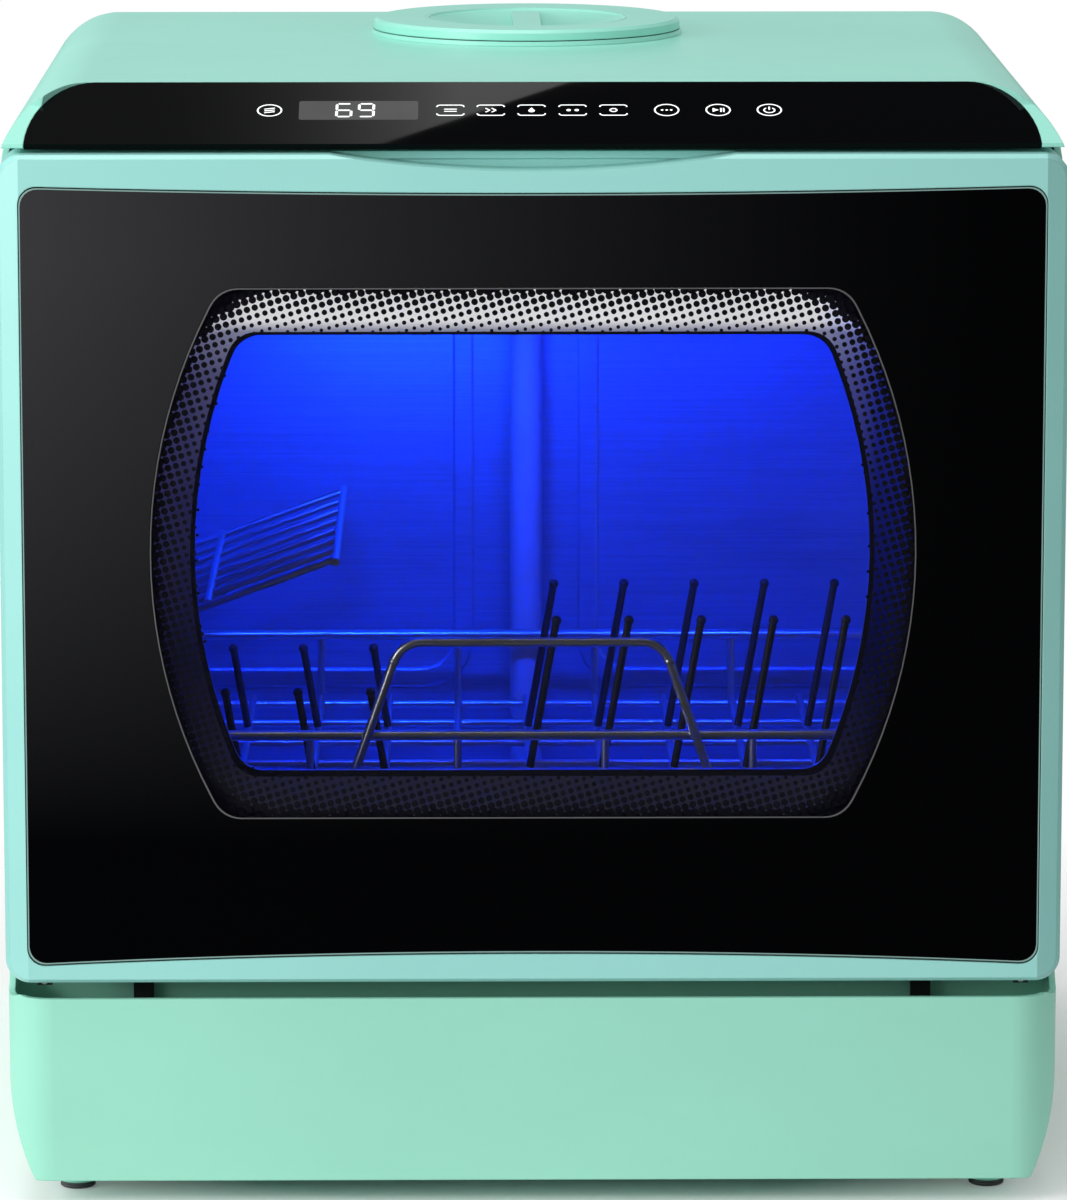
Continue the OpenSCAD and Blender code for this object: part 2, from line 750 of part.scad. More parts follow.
module drain_pump_body() {
    color([0.3, 0.32, 0.35]) translate([well_x, drain_pump_y, pump_z]) rotate([-90, 0, 0]) difference() {
        union() {
            cylinder(r = drain_pump_r, h = drain_volute_w);
            translate([0, 0, drain_volute_w - 1]) cylinder(r = drain_pump_r - 3, h = drain_motor_len + 1);
            translate([0, pump_z - port_z, drain_volute_w / 2]) rotate([0, -90, 0]) cylinder(r = 8, h = 34);
        }
        translate([0, 0, 2.5]) cylinder(r = drain_pump_r - 2.5, h = drain_volute_w - 5);
        translate([0, 0, -1]) cylinder(r = 7.5, h = 5);
        translate([0, 0, drain_volute_w - 4]) cylinder(r = shaft_r + run_gap, h = 20);
        translate([0, pump_z - port_z, drain_volute_w / 2]) rotate([0, -90, 0]) cylinder(r = 5.5, h = 36);
    }
}

module drain_pump_impeller() {
    color([0.85, 0.85, 0.82]) translate([well_x, drain_pump_y, pump_z]) rotate([-90, 0, 0]) {
        translate([0, 0, 5]) cylinder(r = shaft_r, h = drain_volute_w + 7);
        for (a = [0:90:270]) rotate([0, 0, a]) translate([shaft_r - 1, -1, 5])
            cube([drain_pump_r - 6 - shaft_r, 2, 8]);
    }
}

// Hose from the drain pump's outlet to the rear connector, in one level plane
hose_r = 8.5;
hose_bore_r = 6;
hose_bend_r = 32;
hose_y = drain_pump_y + drain_volute_w / 2;
hose_start_x = well_x - 34.2;
hose_end_y = case_y - 12;
module hose_part(r, extra) {
    straight = hose_start_x - drain_x - hose_bend_r;
    translate([drain_x + hose_bend_r, hose_y, port_z]) rotate([0, 90, 0])
        cylinder(r = r, h = straight + extra);
    translate([drain_x + hose_bend_r, hose_y + hose_bend_r, port_z]) rotate([0, 0, 180])
        rotate_extrude(angle = 90) translate([hose_bend_r, 0]) circle(r);
    translate([drain_x, hose_y + hose_bend_r, port_z]) rotate([-90, 0, 0])
        cylinder(r = r, h = hose_end_y - hose_y - hose_bend_r + extra);
}
module drain_hose() {
    color([0.55, 0.57, 0.6]) difference() {
        hose_part(hose_r, 0);
        hose_part(hose_bore_r, 1);
    }
}

// ---- Spray arms ----

module upper_feed_pipe() {
    pipe_x = 0;
    riser_y = tub_back - 9;
    floor_z = tub_floor + 7.5;
    roof_z = tub_top - 9;
    points = [[pipe_x, arm_y + 36, floor_z], [pipe_x, riser_y, floor_z], [pipe_x, riser_y, roof_z],
        [pipe_x, arm_y, roof_z]];
    color([0.8, 0.82, 0.85]) {
        difference() {
            union() {
                pipe(points, 7);
                translate([pipe_x, arm_y + 36, tub_floor + 0.1]) cylinder(r = 7, h = 7.4);
                translate([pipe_x, arm_y, upper_arm_z + arm_t + 0.4])
                    cylinder(r = 10, h = roof_z - upper_arm_z - arm_t);
                translate([pipe_x, arm_y, upper_arm_z - 2])
                    cylinder(r = post_r, h = roof_z - upper_arm_z + 2);
                translate([pipe_x, arm_y, upper_arm_z - 4.4]) cylinder(r = 9, h = 4);
            }
            pipe(points, 4.5);
            translate([pipe_x, arm_y + 36, tub_floor - 1]) cylinder(r = 4.5, h = 8.5);
            translate([pipe_x, arm_y, upper_arm_z + 3]) cylinder(r = 3.5, h = roof_z - upper_arm_z - 3);
        }
    }
}

module lower_arm_post() {
    color([0.8, 0.82, 0.85]) translate([0, arm_y, 0]) {
        translate([0, 0, sump_low + sump_t + 0.1])
            cylinder(r = 9, h = arm_low - 0.4 - sump_low - sump_t - 0.1);
        translate([0, 0, arm_low - 4]) cylinder(r = post_r, h = arm_t + 5);
        translate([0, 0, arm_low + arm_t + 0.4]) cylinder(r = 9, h = 4);
    }
}

// A two-bladed spray arm round a bored hub; holes face up or down
module spray_arm(z) {
    color([0.55, 0.6, 0.66]) translate([0, arm_y, z]) difference() {
        union() {
            cylinder(r = hub_r, h = arm_t);
            for (a = [0, 180]) rotate([0, 0, a]) {
                translate([0, -arm_w / 2 + 4, 1]) cube([arm_reach - arm_w / 2, arm_w - 8, arm_t - 2]);
                translate([arm_reach - arm_w / 2, 0, 1]) cylinder(r = arm_w / 2 - 4, h = arm_t - 2);
                translate([arm_reach * 0.45, -arm_w / 2, 2.4]) cube([arm_reach * 0.42, arm_w, arm_t - 4.8]);
            }
        }
        translate([0, 0, -1]) cylinder(r = post_r + run_gap, h = arm_t + 2);
        for (a = [0, 180], k = [0.3, 0.48, 0.66, 0.84]) rotate([0, 0, a])
            translate([arm_reach * k, 3 * cos(k * 900), -1]) cylinder(r = 1.4, h = arm_t + 2);
    }
}
module lower_spray_arm() { spray_arm(arm_low); }
module upper_spray_arm() { spray_arm(upper_arm_z); }

// ---- Water tank and fill port ----

module tank_block(inset, low, high) {
    translate([-(tank_w / 2 - inset), tank_front + inset, tank_low + inset])
        cube([tank_w - 2 * inset, tank_back - tank_front - 2 * inset, tub_top - tank_low - 2 * inset]);
    translate([-(fill_r + 12 - inset), lid_y - fill_r - 12 + inset, low])
        cube([2 * (fill_r + 12 - inset), tank_back - lid_y + fill_r + 12 - 2 * inset, high - low]);
    translate([-(fill_r + 12 - inset), tank_front + inset, tub_top - 20])
        cube([2 * (fill_r + 12 - inset), tank_back - tank_front - 2 * inset, high - tub_top + 20]);
}
module water_tank() {
    color([0.85, 0.92, 0.95]) difference() {
        tank_block(0, chamber_low, chamber_high - 6);
        tank_block(tank_wall, chamber_low + tank_wall, chamber_high - 6 - tank_wall);
        translate([0, lid_y, chamber_high - 10]) cylinder(r = fill_r + 1, h = 20);
    }
}

module fill_collar() {
    ring_r = lid_d / 2 + 1;
    color(mint) translate([0, lid_y, 0]) difference() {
        union() {
            translate([0, 0, body_h]) cylinder(r1 = ring_r, r2 = ring_r - 0.6, h = collar_h);
            translate([0, 0, chamber_high - 6 + 0.1]) cylinder(r = fill_r + 3, h = body_h - chamber_high + 6);
        }
        translate([0, 0, chamber_high - 10]) cylinder(r = fill_r, h = 40);
    }
}

module fill_lid() {
    z0 = body_h + collar_h + lid_gap;
    top = z0 + lid_t;
    neck_r = fill_r - 3;
    color(mint) translate([0, lid_y, 0]) {
        difference() {
            union() {
                translate([0, 0, z0]) cylinder(r = lid_d / 2, h = lid_t - 1.4);
                translate([0, 0, z0 + lid_t - 1.4]) cylinder(r1 = lid_d / 2, r2 = lid_d / 2 - 1.6, h = 1.4);
                translate([0, 0, body_h - 10]) cylinder(r = neck_r, h = 14);
            }
            translate([0, 0, top]) intersection() {
                translate([0, 0, lid_dish_sphere - lid_dish_depth]) sphere(lid_dish_sphere);
                translate([0, 0, -lid_dish_depth]) cylinder(r = lid_dish_r, h = lid_dish_depth + 1);
            }
            translate([0, 0, body_h - 11]) cylinder(r = neck_r - 2, h = 1.2);
        }
        translate([0, 0, top - 7.4]) intersection() {
            translate([-6, -lid_dish_r, -6]) cube([12, 2 * lid_dish_r, 12.4]);
            cylinder(r = neck_r - 1, h = 40, center = true);
        }
    }
}
lid_dish_sphere = (lid_dish_r * lid_dish_r + lid_dish_depth * lid_dish_depth) / (2 * lid_dish_depth);

module fill_lid_seal() {
    color(rubber) translate([0, lid_y, body_h - 6]) difference() {
        cylinder(r = fill_r - 0.4, h = 3);
        translate([0, 0, -1]) cylinder(r = fill_r - 2.9, h = 5);
    }
}

// ---- Rear connectors ----

module inlet_valve() {
    color([0.2, 0.3, 0.55]) translate([inlet_x, 0, port_z]) {
        difference() {
            union() {
                translate([0, case_y - 14, 0]) rotate([-90, 0, 0]) cylinder(r = inlet_r, h = port_reach + 14);
                translate([0, case_y - 20, 0]) rotate([-90, 0, 0]) cylinder(r = inlet_flange_r, h = 19.8);
                translate([-17, case_y - 56, -17]) cube([34, 40, 34]);
                translate([0, case_y - 36, 12]) cylinder(r = 11, h = 30);
            }
            translate([0, case_y - 40, 0]) rotate([-90, 0, 0]) cylinder(r = 8, h = port_reach + 60);
        }
    }
}

module drain_connector() {
    color([0.2, 0.22, 0.24]) translate([drain_x, 0, port_z]) difference() {
        union() {
            translate([0, hose_end_y + 0.2, 0]) rotate([-90, 0, 0])
                cylinder(r = drain_r, h = end_y - hose_end_y - 0.2);
            translate([0, case_y - 9, 0]) rotate([-90, 0, 0]) cylinder(r = drain_r + 2.8, h = 11.5);
        }
        translate([0, hose_end_y - 1, 0]) rotate([-90, 0, 0]) cylinder(r = drain_r - 3, h = 60);
    }
}

module cord_gland() {
    nose = 14;
    color(black) translate([cord_x, 0, cord_z]) difference() {
        union() {
            translate([0, case_y - 8, 0]) rotate([-90, 0, 0]) cylinder(r = cord_r + 3, h = 8 + 0.1 + cover_t);
            translate([0, case_y + 0.2 + cover_t, 0]) rotate([-90, 0, 0]) cylinder(r = cord_r + 6.5, h = 3);
            translate([0, case_y + 3 + cover_t, 0]) rotate([-90, 0, 0])
                cylinder(r1 = cord_r + 4.5, r2 = cord_r + 2, h = nose);
            translate([0, case_y - 12, 0]) rotate([-90, 0, 0]) cylinder(r = cord_r + 5, h = 4);
        }
        translate([0, case_y - 20, 0]) rotate([-90, 0, 0]) cylinder(r = cord_r, h = 60);
    }
}

// ---- Drying fan ----

module fan_housing() {
    h = fan_high - fan_low;
    color([0.22, 0.23, 0.25]) translate([fan_x, fan_y, fan_low]) difference() {
        union() {
            cylinder(r = fan_r, h = h);
            translate([0, -12, 0]) cube([fan_r + 23, 24, 14]);
        }
        translate([0, 0, 2]) cylinder(r = fan_r - 2, h = h - 4);
        translate([fan_r - 6, -10, 2]) cube([27, 20, 10]);
        translate([fan_r + 3, -10, -1]) cube([18, 20, 5]);
        translate([0, 0, h - 3]) cylinder(r = 26, h = 5);
        translate([0, 0, -1]) cylinder(r = 2 + run_gap, h = 5);
    }
}

module fan_impeller() {
    blade_h = fan_high - fan_low - 9;
    color([0.3, 0.32, 0.34]) translate([fan_x, fan_y, fan_low + 4]) {
        cylinder(r = blade_r, h = 1.6);
        translate([0, 0, -3.8]) cylinder(r = 2, h = 6);
        cylinder(r = 13, h = blade_h - 2);
        for (a = [0:20:340]) rotate([0, 0, a]) translate([blade_r - 11, 0, 1]) rotate([0, 0, 35])
            cube([12, 1.4, blade_h - 1]);
    }
}

module cavity_lamps() {
    color([0.5, 0.6, 1]) for (s = [-1, 1]) translate([s * 90, lamp_y, tub_top - 2.4]) {
        translate([-lamp_w / 2 + 0.3, -lamp_d / 2 + 0.3, 0])
            cube([lamp_w - 0.6, lamp_d - 0.6, 2.4 + tub_t + 1]);
        translate([-lamp_w / 2 - 3, -lamp_d / 2 - 3, 0]) cube([lamp_w + 6, lamp_d + 6, 2.2]);
    }
}

// ---- Hinges and latch ----

module hinge_brackets() {
    color(black) each_side() difference() {
        union() {
            along_x(-bracket_w / 2, bracket_w / 2) {
                translate([hinge_y, hinge_z]) circle(bracket_ring_r);
                translate([hinge_y, hinge_z - 4.5]) square([frame_front - 0.2 - hinge_y, 9]);
                translate([frame_front - 4.7, trough_z + 0.1]) square([4.5, hinge_z + 4.5 - trough_z - 0.1]);
            }
            translate([-bracket_w / 2 - 5, frame_front - 15, trough_z + 0.1])
                cube([bracket_w + 10, 14.8, 2.4]);
        }
        translate([-bracket_w, hinge_y, hinge_z]) rotate([0, 90, 0])
            cylinder(r = pin_r + bush_wall + 0.02, h = 2 * bracket_w);
    }
}

module hinge_bushes() {
    color([0.9, 0.9, 0.85]) each_side() translate([-bracket_w / 2, hinge_y, hinge_z]) rotate([0, 90, 0])
        difference() {
        cylinder(r = pin_r + bush_wall, h = bracket_w);
        translate([0, 0, -1]) cylinder(r = bush_bore_r, h = bracket_w + 2);
    }
}

module hinge_clevises() {
    color([0.1, 0.1, 0.11]) each_side() for (s = [-1, 1]) difference() {
        along_x(s > 0 ? clevis_in : -clevis_out, s > 0 ? clevis_out : -clevis_in) {
            translate([hinge_y, hinge_z]) circle(bracket_ring_r);
            translate([hinge_y, hinge_z]) square([9, notch_up - hinge_up + 12]);
            translate([glass_back + ledge_t + 0.2, seam_z + notch_up + 0.3])
                square([hinge_y - glass_back - ledge_t + 9 - 0.2, 12 - 0.3]);
        }
        translate([-clevis_out - 1, hinge_y, hinge_z]) rotate([0, 90, 0])
            cylinder(r = pin_r + 0.02, h = 2 * clevis_out + 2);
    }
}

module hinge_pins() {
    color(steel) each_side() {
        translate([-clevis_out, hinge_y, hinge_z]) rotate([0, 90, 0]) cylinder(r = pin_r, h = 2 * clevis_out);
        translate([clevis_out + 0.05 - eps, hinge_y, hinge_z]) rotate([0, 90, 0])
            cylinder(r = pin_r + 1.2, h = 0.4);
    }
}

hook_z = door_top - 6.4;
hook_reach = 26;
module door_hook() {
    color([0.1, 0.1, 0.11]) difference() {
        union() {
            translate([-6, door_rear - 6, hook_z]) cube([12, hook_reach + 6, 3]);
            translate([-12, door_rear - 6, hook_z - 12]) cube([24, 3.8, 15]);
        }
        translate([-3, door_rear + hook_reach - 9, hook_z - 1]) cube([6, 5, 6]);
    }
}

module latch_jaws() {
    y0 = tub_front + 0.3;
    low = tub_top + tub_t + 0.4;
    high = nose_z - 0.4;
    color([0.2, 0.2, 0.22]) difference() {
        translate([-14, y0, low]) cube([28, 17, high - low]);
        translate([-8, y0 - 1, low - 1]) cube([16, 15, hook_z + 5.6 - low + 1]);
        translate([10, y0 + 8, low - 1]) cylinder(r = 1.4, h = 20);
        translate([-11, y0 + 8, low - 1]) cylinder(r = 1.4, h = 20);
    }
}

// ---- Door ----

// Window outline with straight top and bottom and bowed sides, drawn in X and Z about its middle
module barrel(end_half, mid_half, h, r) {
    sag = mid_half - end_half;
    big_r = (h * h / 4 + sag * sag) / (2 * sag);
    half_a = asin(h / 2 / big_r);
    side = [for (i = [-8:8]) let (a = i * half_a / 8) [mid_half - big_r + big_r * cos(a), big_r * sin(a)]];
    offset(r = r, $fn = 32) offset(delta = -r) polygon(concat(side, [for (p = side) [-p[0], -p[1]]]));
}

// Glass outline with slightly bowed top and bottom edges, drawn in X and Z
module glass_outline(grow) {
    n = 10;
    low = [for (i = [-n:n]) [i * glass_half / n, glass_low + glass_bow_low * (1 - i * i / n / n)]];
    high = [for (i = [n:-1:-n]) [i * glass_half / n, glass_high - glass_bow_high * (1 - i * i / n / n)]];
    offset(r = glass_r + grow, $fn = 32) offset(delta = -glass_r) polygon(concat(low, high));
}

module door_block(inset, y0, y1) {
    translate([0, 0, door_mid_z]) along_y(y0, y1)
        round_rect(body_w - 2 * inset, door_top - seam_z - 2 * inset, max(door_r - inset, 1));
}

module door_frame() {
    skirt = 3;
    rear = door_rear - panel_plate_t - 0.1;
    color(mint) difference() {
        union() {
            hull() {
                door_block(1.6, front_y, front_y + 1);
                door_block(0, front_y + 2.2, front_y + 3);
            }
            door_block(0, front_y + 2.9, rear);
        }
        door_block(skirt, glass_back + ledge_t, door_rear);
        along_y(front_y - 1, glass_back) glass_outline(0.3);
        along_y(front_y, glass_back + ledge_t + 1) glass_outline(-7);
        translate([0, front_y - 1, door_top - scoop_h + scoop_r]) rotate([-90, 0, 0])
            cylinder(r = scoop_r, h = scoop_depth + 1, $fn = 256);
        each_side() translate([-notch_w / 2, front_y + 4.4, seam_z - 1])
            cube([notch_w, door_t, notch_up + 1]);
    }
    color(mint) intersection() {
        difference() {
            translate([0, front_y + 3, door_top - scoop_h - 3 + scoop_r]) rotate([-90, 0, 0])
                cylinder(r = scoop_r + 3, h = scoop_depth + 2, $fn = 256);
            translate([0, front_y + 2, door_top - scoop_h + scoop_r]) rotate([-90, 0, 0])
                cylinder(r = scoop_r, h = scoop_depth - 2 + 1, $fn = 256);
        }
        translate([-scoop_w / 2 - 20, glass_back + ledge_t - 0.5, door_top - scoop_h - 3.2])
            cube([scoop_w + 40, scoop_depth, scoop_h + 2]);
    }
}

module door_glass() {
    color(black) along_y(front_y + 0.3, front_y + 0.3 + glass_t) glass_outline(-0.1);
}

// Funnel that joins the window's outline behind the glass to the smaller opening in the inner panel
module window_shroud() {
    y0 = glass_back + 0.3;
    y1 = pane_back - pane_t - 0.6;
    t = 1.6;
    color([0.85, 0.86, 0.88]) translate([0, 0, 0]) difference() {
        hull() {
            translate([0, 0, window_mid_z]) along_y(y0, y0 + 1)
                barrel(window_end + 1, window_mid + 1, window_h + 2, window_r);
            translate([0, 0, inner_window_z]) along_y(y1 - 1, y1)
                barrel(inner_window_end + t, inner_window_mid + t, inner_window_h + 2 * t, window_r);
        }
        hull() {
            translate([0, 0, window_mid_z]) along_y(y0 - 0.5, y0)
                barrel(window_end - t, window_mid - t, window_h - 2 * t, window_r);
            translate([0, 0, inner_window_z]) along_y(y1, y1 + 0.5)
                barrel(inner_window_end, inner_window_mid, inner_window_h, window_r);
        }
    }
}

module window_trim() {
    y0 = front_y + 0.3 + glass_t;
    color(steel) translate([0, 0, window_mid_z]) difference() {
        along_y(y0 + 0.05, y0 + 0.35) barrel(window_end + 0.8, window_mid + 0.8, window_h + 1.6, window_r);
        along_y(y0 - 1, y0 + 2) barrel(window_end - 0.6, window_mid - 0.6, window_h - 1.2, window_r);
    }
}

module door_inner_panel() {
    rim = 3.6;
    color(steel) difference() {
        union() {
            door_block(1.2, door_rear - panel_plate_t, door_rear);
            difference() {
                door_block(3.4, door_rear - 9, door_rear - 1);
                door_block(3.4 + 1.4, door_rear - 10, door_rear);
            }
            translate([0, 0, inner_window_z]) along_y(pane_back - pane_t - 0.4, door_rear - 1)
                barrel(inner_window_end + rim + 4, inner_window_mid + rim + 4, inner_window_h + 2 * rim + 8,
                    window_r);
        }
        translate([0, 0, inner_window_z]) along_y(pane_back - pane_t - 2, door_rear + 1)
            barrel(inner_window_end - pane_ledge, inner_window_mid - pane_ledge, inner_window_h - 2 * pane_ledge,
                window_r);
        translate([0, 0, inner_window_z]) along_y(pane_back - pane_t - 2, pane_back + 0.1)
            barrel(inner_window_end + rim, inner_window_mid + rim, inner_window_h + 2 * rim, window_r);
        each_side() translate([-notch_w / 2, front_y, seam_z - 1]) cube([notch_w, door_t + 2, notch_up + 1]);
        translate([-12.4, door_rear - 10, hook_z - 12.4]) cube([24.8, 10 - panel_plate_t, 30]);
        translate([-6.3, door_rear - 10, hook_z - 0.3]) cube([12.6, 12, 3.6]);
    }
}

module inner_window_pane() {
    color(clear) translate([0, 0, inner_window_z]) along_y(pane_back - pane_t, pane_back)
        barrel(inner_window_end + 1, inner_window_mid + 1, inner_window_h + 2, window_r);
}

module inner_window_seal() {
    color(rubber) translate([0, 0, inner_window_z]) difference() {
        along_y(pane_back - pane_t, pane_back)
            barrel(inner_window_end + 3.3, inner_window_mid + 3.3, inner_window_h + 6.6, window_r);
        along_y(pane_back - pane_t - 1, pane_back + 1)
            barrel(inner_window_end + 1.1, inner_window_mid + 1.1, inner_window_h + 2.2, window_r);
    }
}

module door_bumpers() {
    color(rubber) for (s = [-1, 1]) translate([s * 195, front_y + 12, seam_z - 2.4]) {
        translate([-3, -4, 0]) cube([6, 8, 2.3]);
    }
}

module detergent_cup() {
    cup_w = 66;
    cup_h = 34;
    z0 = seam_z + 34;
    color([0.85, 0.86, 0.88]) translate([70, door_rear + 0.1, z0]) difference() {
        cube([cup_w, 11, cup_h]);
        translate([2, 2, 2]) cube([30, 12, cup_h - 4]);
        translate([34, 2, 2]) cube([cup_w - 36, 12, cup_h - 4]);
    }
}

// ---- Rack ----

module rack_floor() {
    tr = thin_d / 2;
    color(steel) {
        for (i = [0:floor_wires - 1]) {
            x = -rack_half + i * 2 * rack_half / (floor_wires - 1);
            rod([x, rack_front, rack_z], [x, rack_rear, rack_z], tr);
        }
        for (j = [0:cross_wires - 1]) {
            y = rack_front + 4 + j * (rack_rear - rack_front - 8) / (cross_wires - 1);
            rod([-rack_half, y, rack_z - tr - 0.6], [rack_half, y, rack_z - tr - 0.6], tr);
        }
    }
}

// Bent rod: a quarter or less of a ring, in the plane of X and Y
module bend(radius, angle, r) {
    rotate_extrude(angle = angle) translate([radius, 0]) circle(r);
}

// The rack's rail: a round-cornered ring of thick wire
module rack_rail() {
    wr = wire_d / 2;
    c = rail_corner_r;
    mid_y = (rack_front + rack_rear) / 2;
    half_y = (rack_rear - rack_front) / 2;
    for (s = [0, 180]) translate([0, mid_y, rail_z]) rotate([0, 0, s]) {
        translate([-(rack_half - c), -half_y, 0]) rotate([0, 90, 0])
            cylinder(r = wr, h = 2 * (rack_half - c));
        translate([rack_half, -(half_y - c), 0]) rotate([-90, 0, 0]) cylinder(r = wr, h = 2 * (half_y - c));
        translate([rack_half - c, half_y - c, 0]) bend(c, 90, wr);
        translate([rack_half - c, -(half_y - c), 0]) rotate([0, 0, -90]) bend(c, 90, wr);
    }
}

// The hoop at the front: two legs that lean in, two bends and a level top
module rack_hoop() {
    wr = wire_d / 2 - 0.3;
    c = 12;
    top_z = rail_z + hoop_up;
    leg = (top_z - c + c * cos(hoop_lean) - hoop_foot_z) / sin(hoop_lean);
    bend_x = -hoop_foot + leg * cos(hoop_lean) + c * sin(hoop_lean);
    for (s = [0, 180]) translate([0, rack_front - 3, 0]) rotate([0, 0, s]) {
        translate([-hoop_foot, 0, hoop_foot_z]) rotate([0, 90 - hoop_lean, 0]) {
            cylinder(r = wr, h = leg - 0.2);
            translate([0, 0, leg - 0.1]) sphere(wr + 0.3);
        }
        translate([bend_x, 0, top_z - c]) rotate([90, 0, 0]) rotate([0, 0, 90]) bend(c, hoop_lean, wr);
        translate([bend_x, 0, top_z]) rotate([0, 90, 0]) cylinder(r = wr, h = -bend_x);
    }
}

module rack_walls() {
    tr = thin_d / 2;
    pitch = 2 * rack_half / (floor_wires - 1);
    post_h = rail_up - tr - 0.1;
    color(steel) {
        rack_rail();
        rack_hoop();
        for (i = [1:2:floor_wires - 2], y = [rack_front, rack_rear])
            translate([-rack_half + i * pitch, y, rack_z + tr + 0.1]) cylinder(r = tr, h = post_h);
        for (i = [0:3], s = [-1, 1])
            translate([s * rack_half, rack_front + 40 + i * (rack_rear - rack_front - 80) / 3,
                rack_z + tr + 0.1])
                cylinder(r = tr, h = post_h);
    }
}

// Plate tines stand on the floor wires and lean
module rack_tines() {
    tr = thin_d / 2;
    pitch = 2 * rack_half / (floor_wires - 1);
    z0 = rack_z + tr + 0.45;
    color([0.1, 0.1, 0.12]) {
        for (i = [0:5], row = [0, 1]) {
            x = i * pitch;
            y = rack_front + 62 + row * 88;
            rod([x, y, z0], [x + 11, y, z0 + tine_h], tr);
        }
        for (i = [0:3], row = [0, 1]) {
            x = -5 * pitch + i * pitch;
            y = rack_front + 50 + row * 100;
            rod([x, y, z0], [x - 6, y, z0 + tine_h * 0.55], tr);
        }
    }
}

// Slotted glides that clip on the outer floor wires and run on the tub's runners
module rack_glides() {
    slot_z = glide_h + 1.7 - thin_d / 2 - 0.2;
    color([0.85, 0.85, 0.85]) for (x = [-1, 1], y = [rack_front + 20, rack_rear - 20])
        translate([x * (rack_half + 4.5) - 4, y - 8, rack_z - glide_h + 0.3 - 2]) difference() {
            cube([8, 16, glide_h + 6]);
            translate([x > 0 ? -1 : 5.2, -1, slot_z]) cube([3.8, 18, thin_d + 0.4]);
        }
}

// ---- Cup shelf ----

module on_shelf() {
    translate([shelf_x, shelf_y, shelf_z]) rotate([0, -shelf_tilt, 0]) children();
}
module cup_shelf() {
    tr = thin_d / 2;
    half = shelf_len / 2;
    color(steel) on_shelf() {
        rod([0, -half, 0], [0, half, 0], tr);
        rod([shelf_w, -half, 0], [shelf_w, half, 0], tr);
        for (i = [0:shelf_wires - 1]) {
            y = -half + 8 + i * (shelf_len - 16) / (shelf_wires - 1);
            rod([0, y, 0], [shelf_w, y, 0], tr);
        }
        rod([shelf_w * 0.5, -half + 8, 0.8], [shelf_w * 0.5, half - 8, 0.8], tr);
    }
}

module cup_shelf_clips() {
    tr = thin_d / 2;
    color([0.85, 0.86, 0.88]) for (s = [-1, 1])
        translate([shelf_x, shelf_y + s * (shelf_len / 2 - clip_in), shelf_z]) difference() {
        translate([-(tub_w / 2 + shelf_x) + 0.1, -5, -6]) cube([tub_w / 2 + shelf_x + 5, 10, 12]);
        rotate([90, 0, 0]) translate([0, 0, -10]) cylinder(r = tr + 0.08, h = 20);
        translate([-1.6, -6, -8]) cube([3.2, 12, 8]);
    }
}

cabinet_shell();
base_shell();
bottom_pan();
rubber_feet();
rear_cover();
rear_cover_screws();
control_glass();
control_tray();
control_board();
display_module();
power_board();
tub();
tub_front_frame();
door_gasket();
rack_runners();
sump();
filter_plate();
filter_basket();
heating_element();
wash_pump_housing();
wash_pump_motor();
wash_pump_impeller();
drain_pump_body();
drain_pump_impeller();
upper_feed_pipe();
lower_arm_post();
lower_spray_arm();
upper_spray_arm();
water_tank();
fill_collar();
fill_lid();
fill_lid_seal();
inlet_valve();
drain_connector();
cord_gland();
drain_hose();
fan_housing();
fan_impeller();
cavity_lamps();
hinge_brackets();
hinge_bushes();
latch_jaws();
cup_shelf_clips();
door_frame();
door_glass();
window_shroud();
window_trim();
door_inner_panel();
inner_window_pane();
inner_window_seal();
door_hook();
hinge_clevises();
hinge_pins();
door_bumpers();
detergent_cup();
rack_floor();
rack_walls();
rack_tines();
rack_glides();
cup_shelf();
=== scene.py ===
"""Looks of a countertop dishwasher, built round its packed CAD frame."""

import math

import bmesh
import bpy
from bpy.props import FloatProperty, FloatVectorProperty, IntProperty, PointerProperty
from bpy.types import Operator, Panel, PropertyGroup
from mathutils import Matrix, Vector


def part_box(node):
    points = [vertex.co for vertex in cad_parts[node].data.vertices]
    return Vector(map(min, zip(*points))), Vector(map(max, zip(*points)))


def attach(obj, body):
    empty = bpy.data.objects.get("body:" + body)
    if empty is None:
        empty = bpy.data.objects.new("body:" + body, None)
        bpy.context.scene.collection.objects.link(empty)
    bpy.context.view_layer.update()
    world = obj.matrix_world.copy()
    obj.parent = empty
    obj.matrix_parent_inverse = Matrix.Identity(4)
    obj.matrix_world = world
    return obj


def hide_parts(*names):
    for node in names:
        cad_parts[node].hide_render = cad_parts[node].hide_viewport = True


bl_info = {
    "name": "Countertop dishwasher looks",
    "version": (1, 0, 0),
    "blender": (4, 5, 0),
    "location": "3D View > Sidebar > Dishwasher",
    "description": "Finishes and fine pieces for a countertop dishwasher",
    "category": "Object",
}

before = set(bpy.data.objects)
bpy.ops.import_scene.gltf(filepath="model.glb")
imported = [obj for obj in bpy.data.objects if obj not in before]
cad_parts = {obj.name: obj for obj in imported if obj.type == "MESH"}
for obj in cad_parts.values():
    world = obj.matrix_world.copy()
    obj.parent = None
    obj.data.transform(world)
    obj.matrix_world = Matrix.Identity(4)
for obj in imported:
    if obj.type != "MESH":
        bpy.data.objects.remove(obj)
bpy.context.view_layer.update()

GLASS_LOW, GLASS_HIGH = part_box("door_glass")
PANEL_LOW, PANEL_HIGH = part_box("control_glass")
TRIM_LOW, TRIM_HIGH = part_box("window_trim")
PANE_LOW, PANE_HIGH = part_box("inner_window_pane")
TUB_LOW, TUB_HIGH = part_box("tub")


# ---- Sizes and colours that can be changed ----


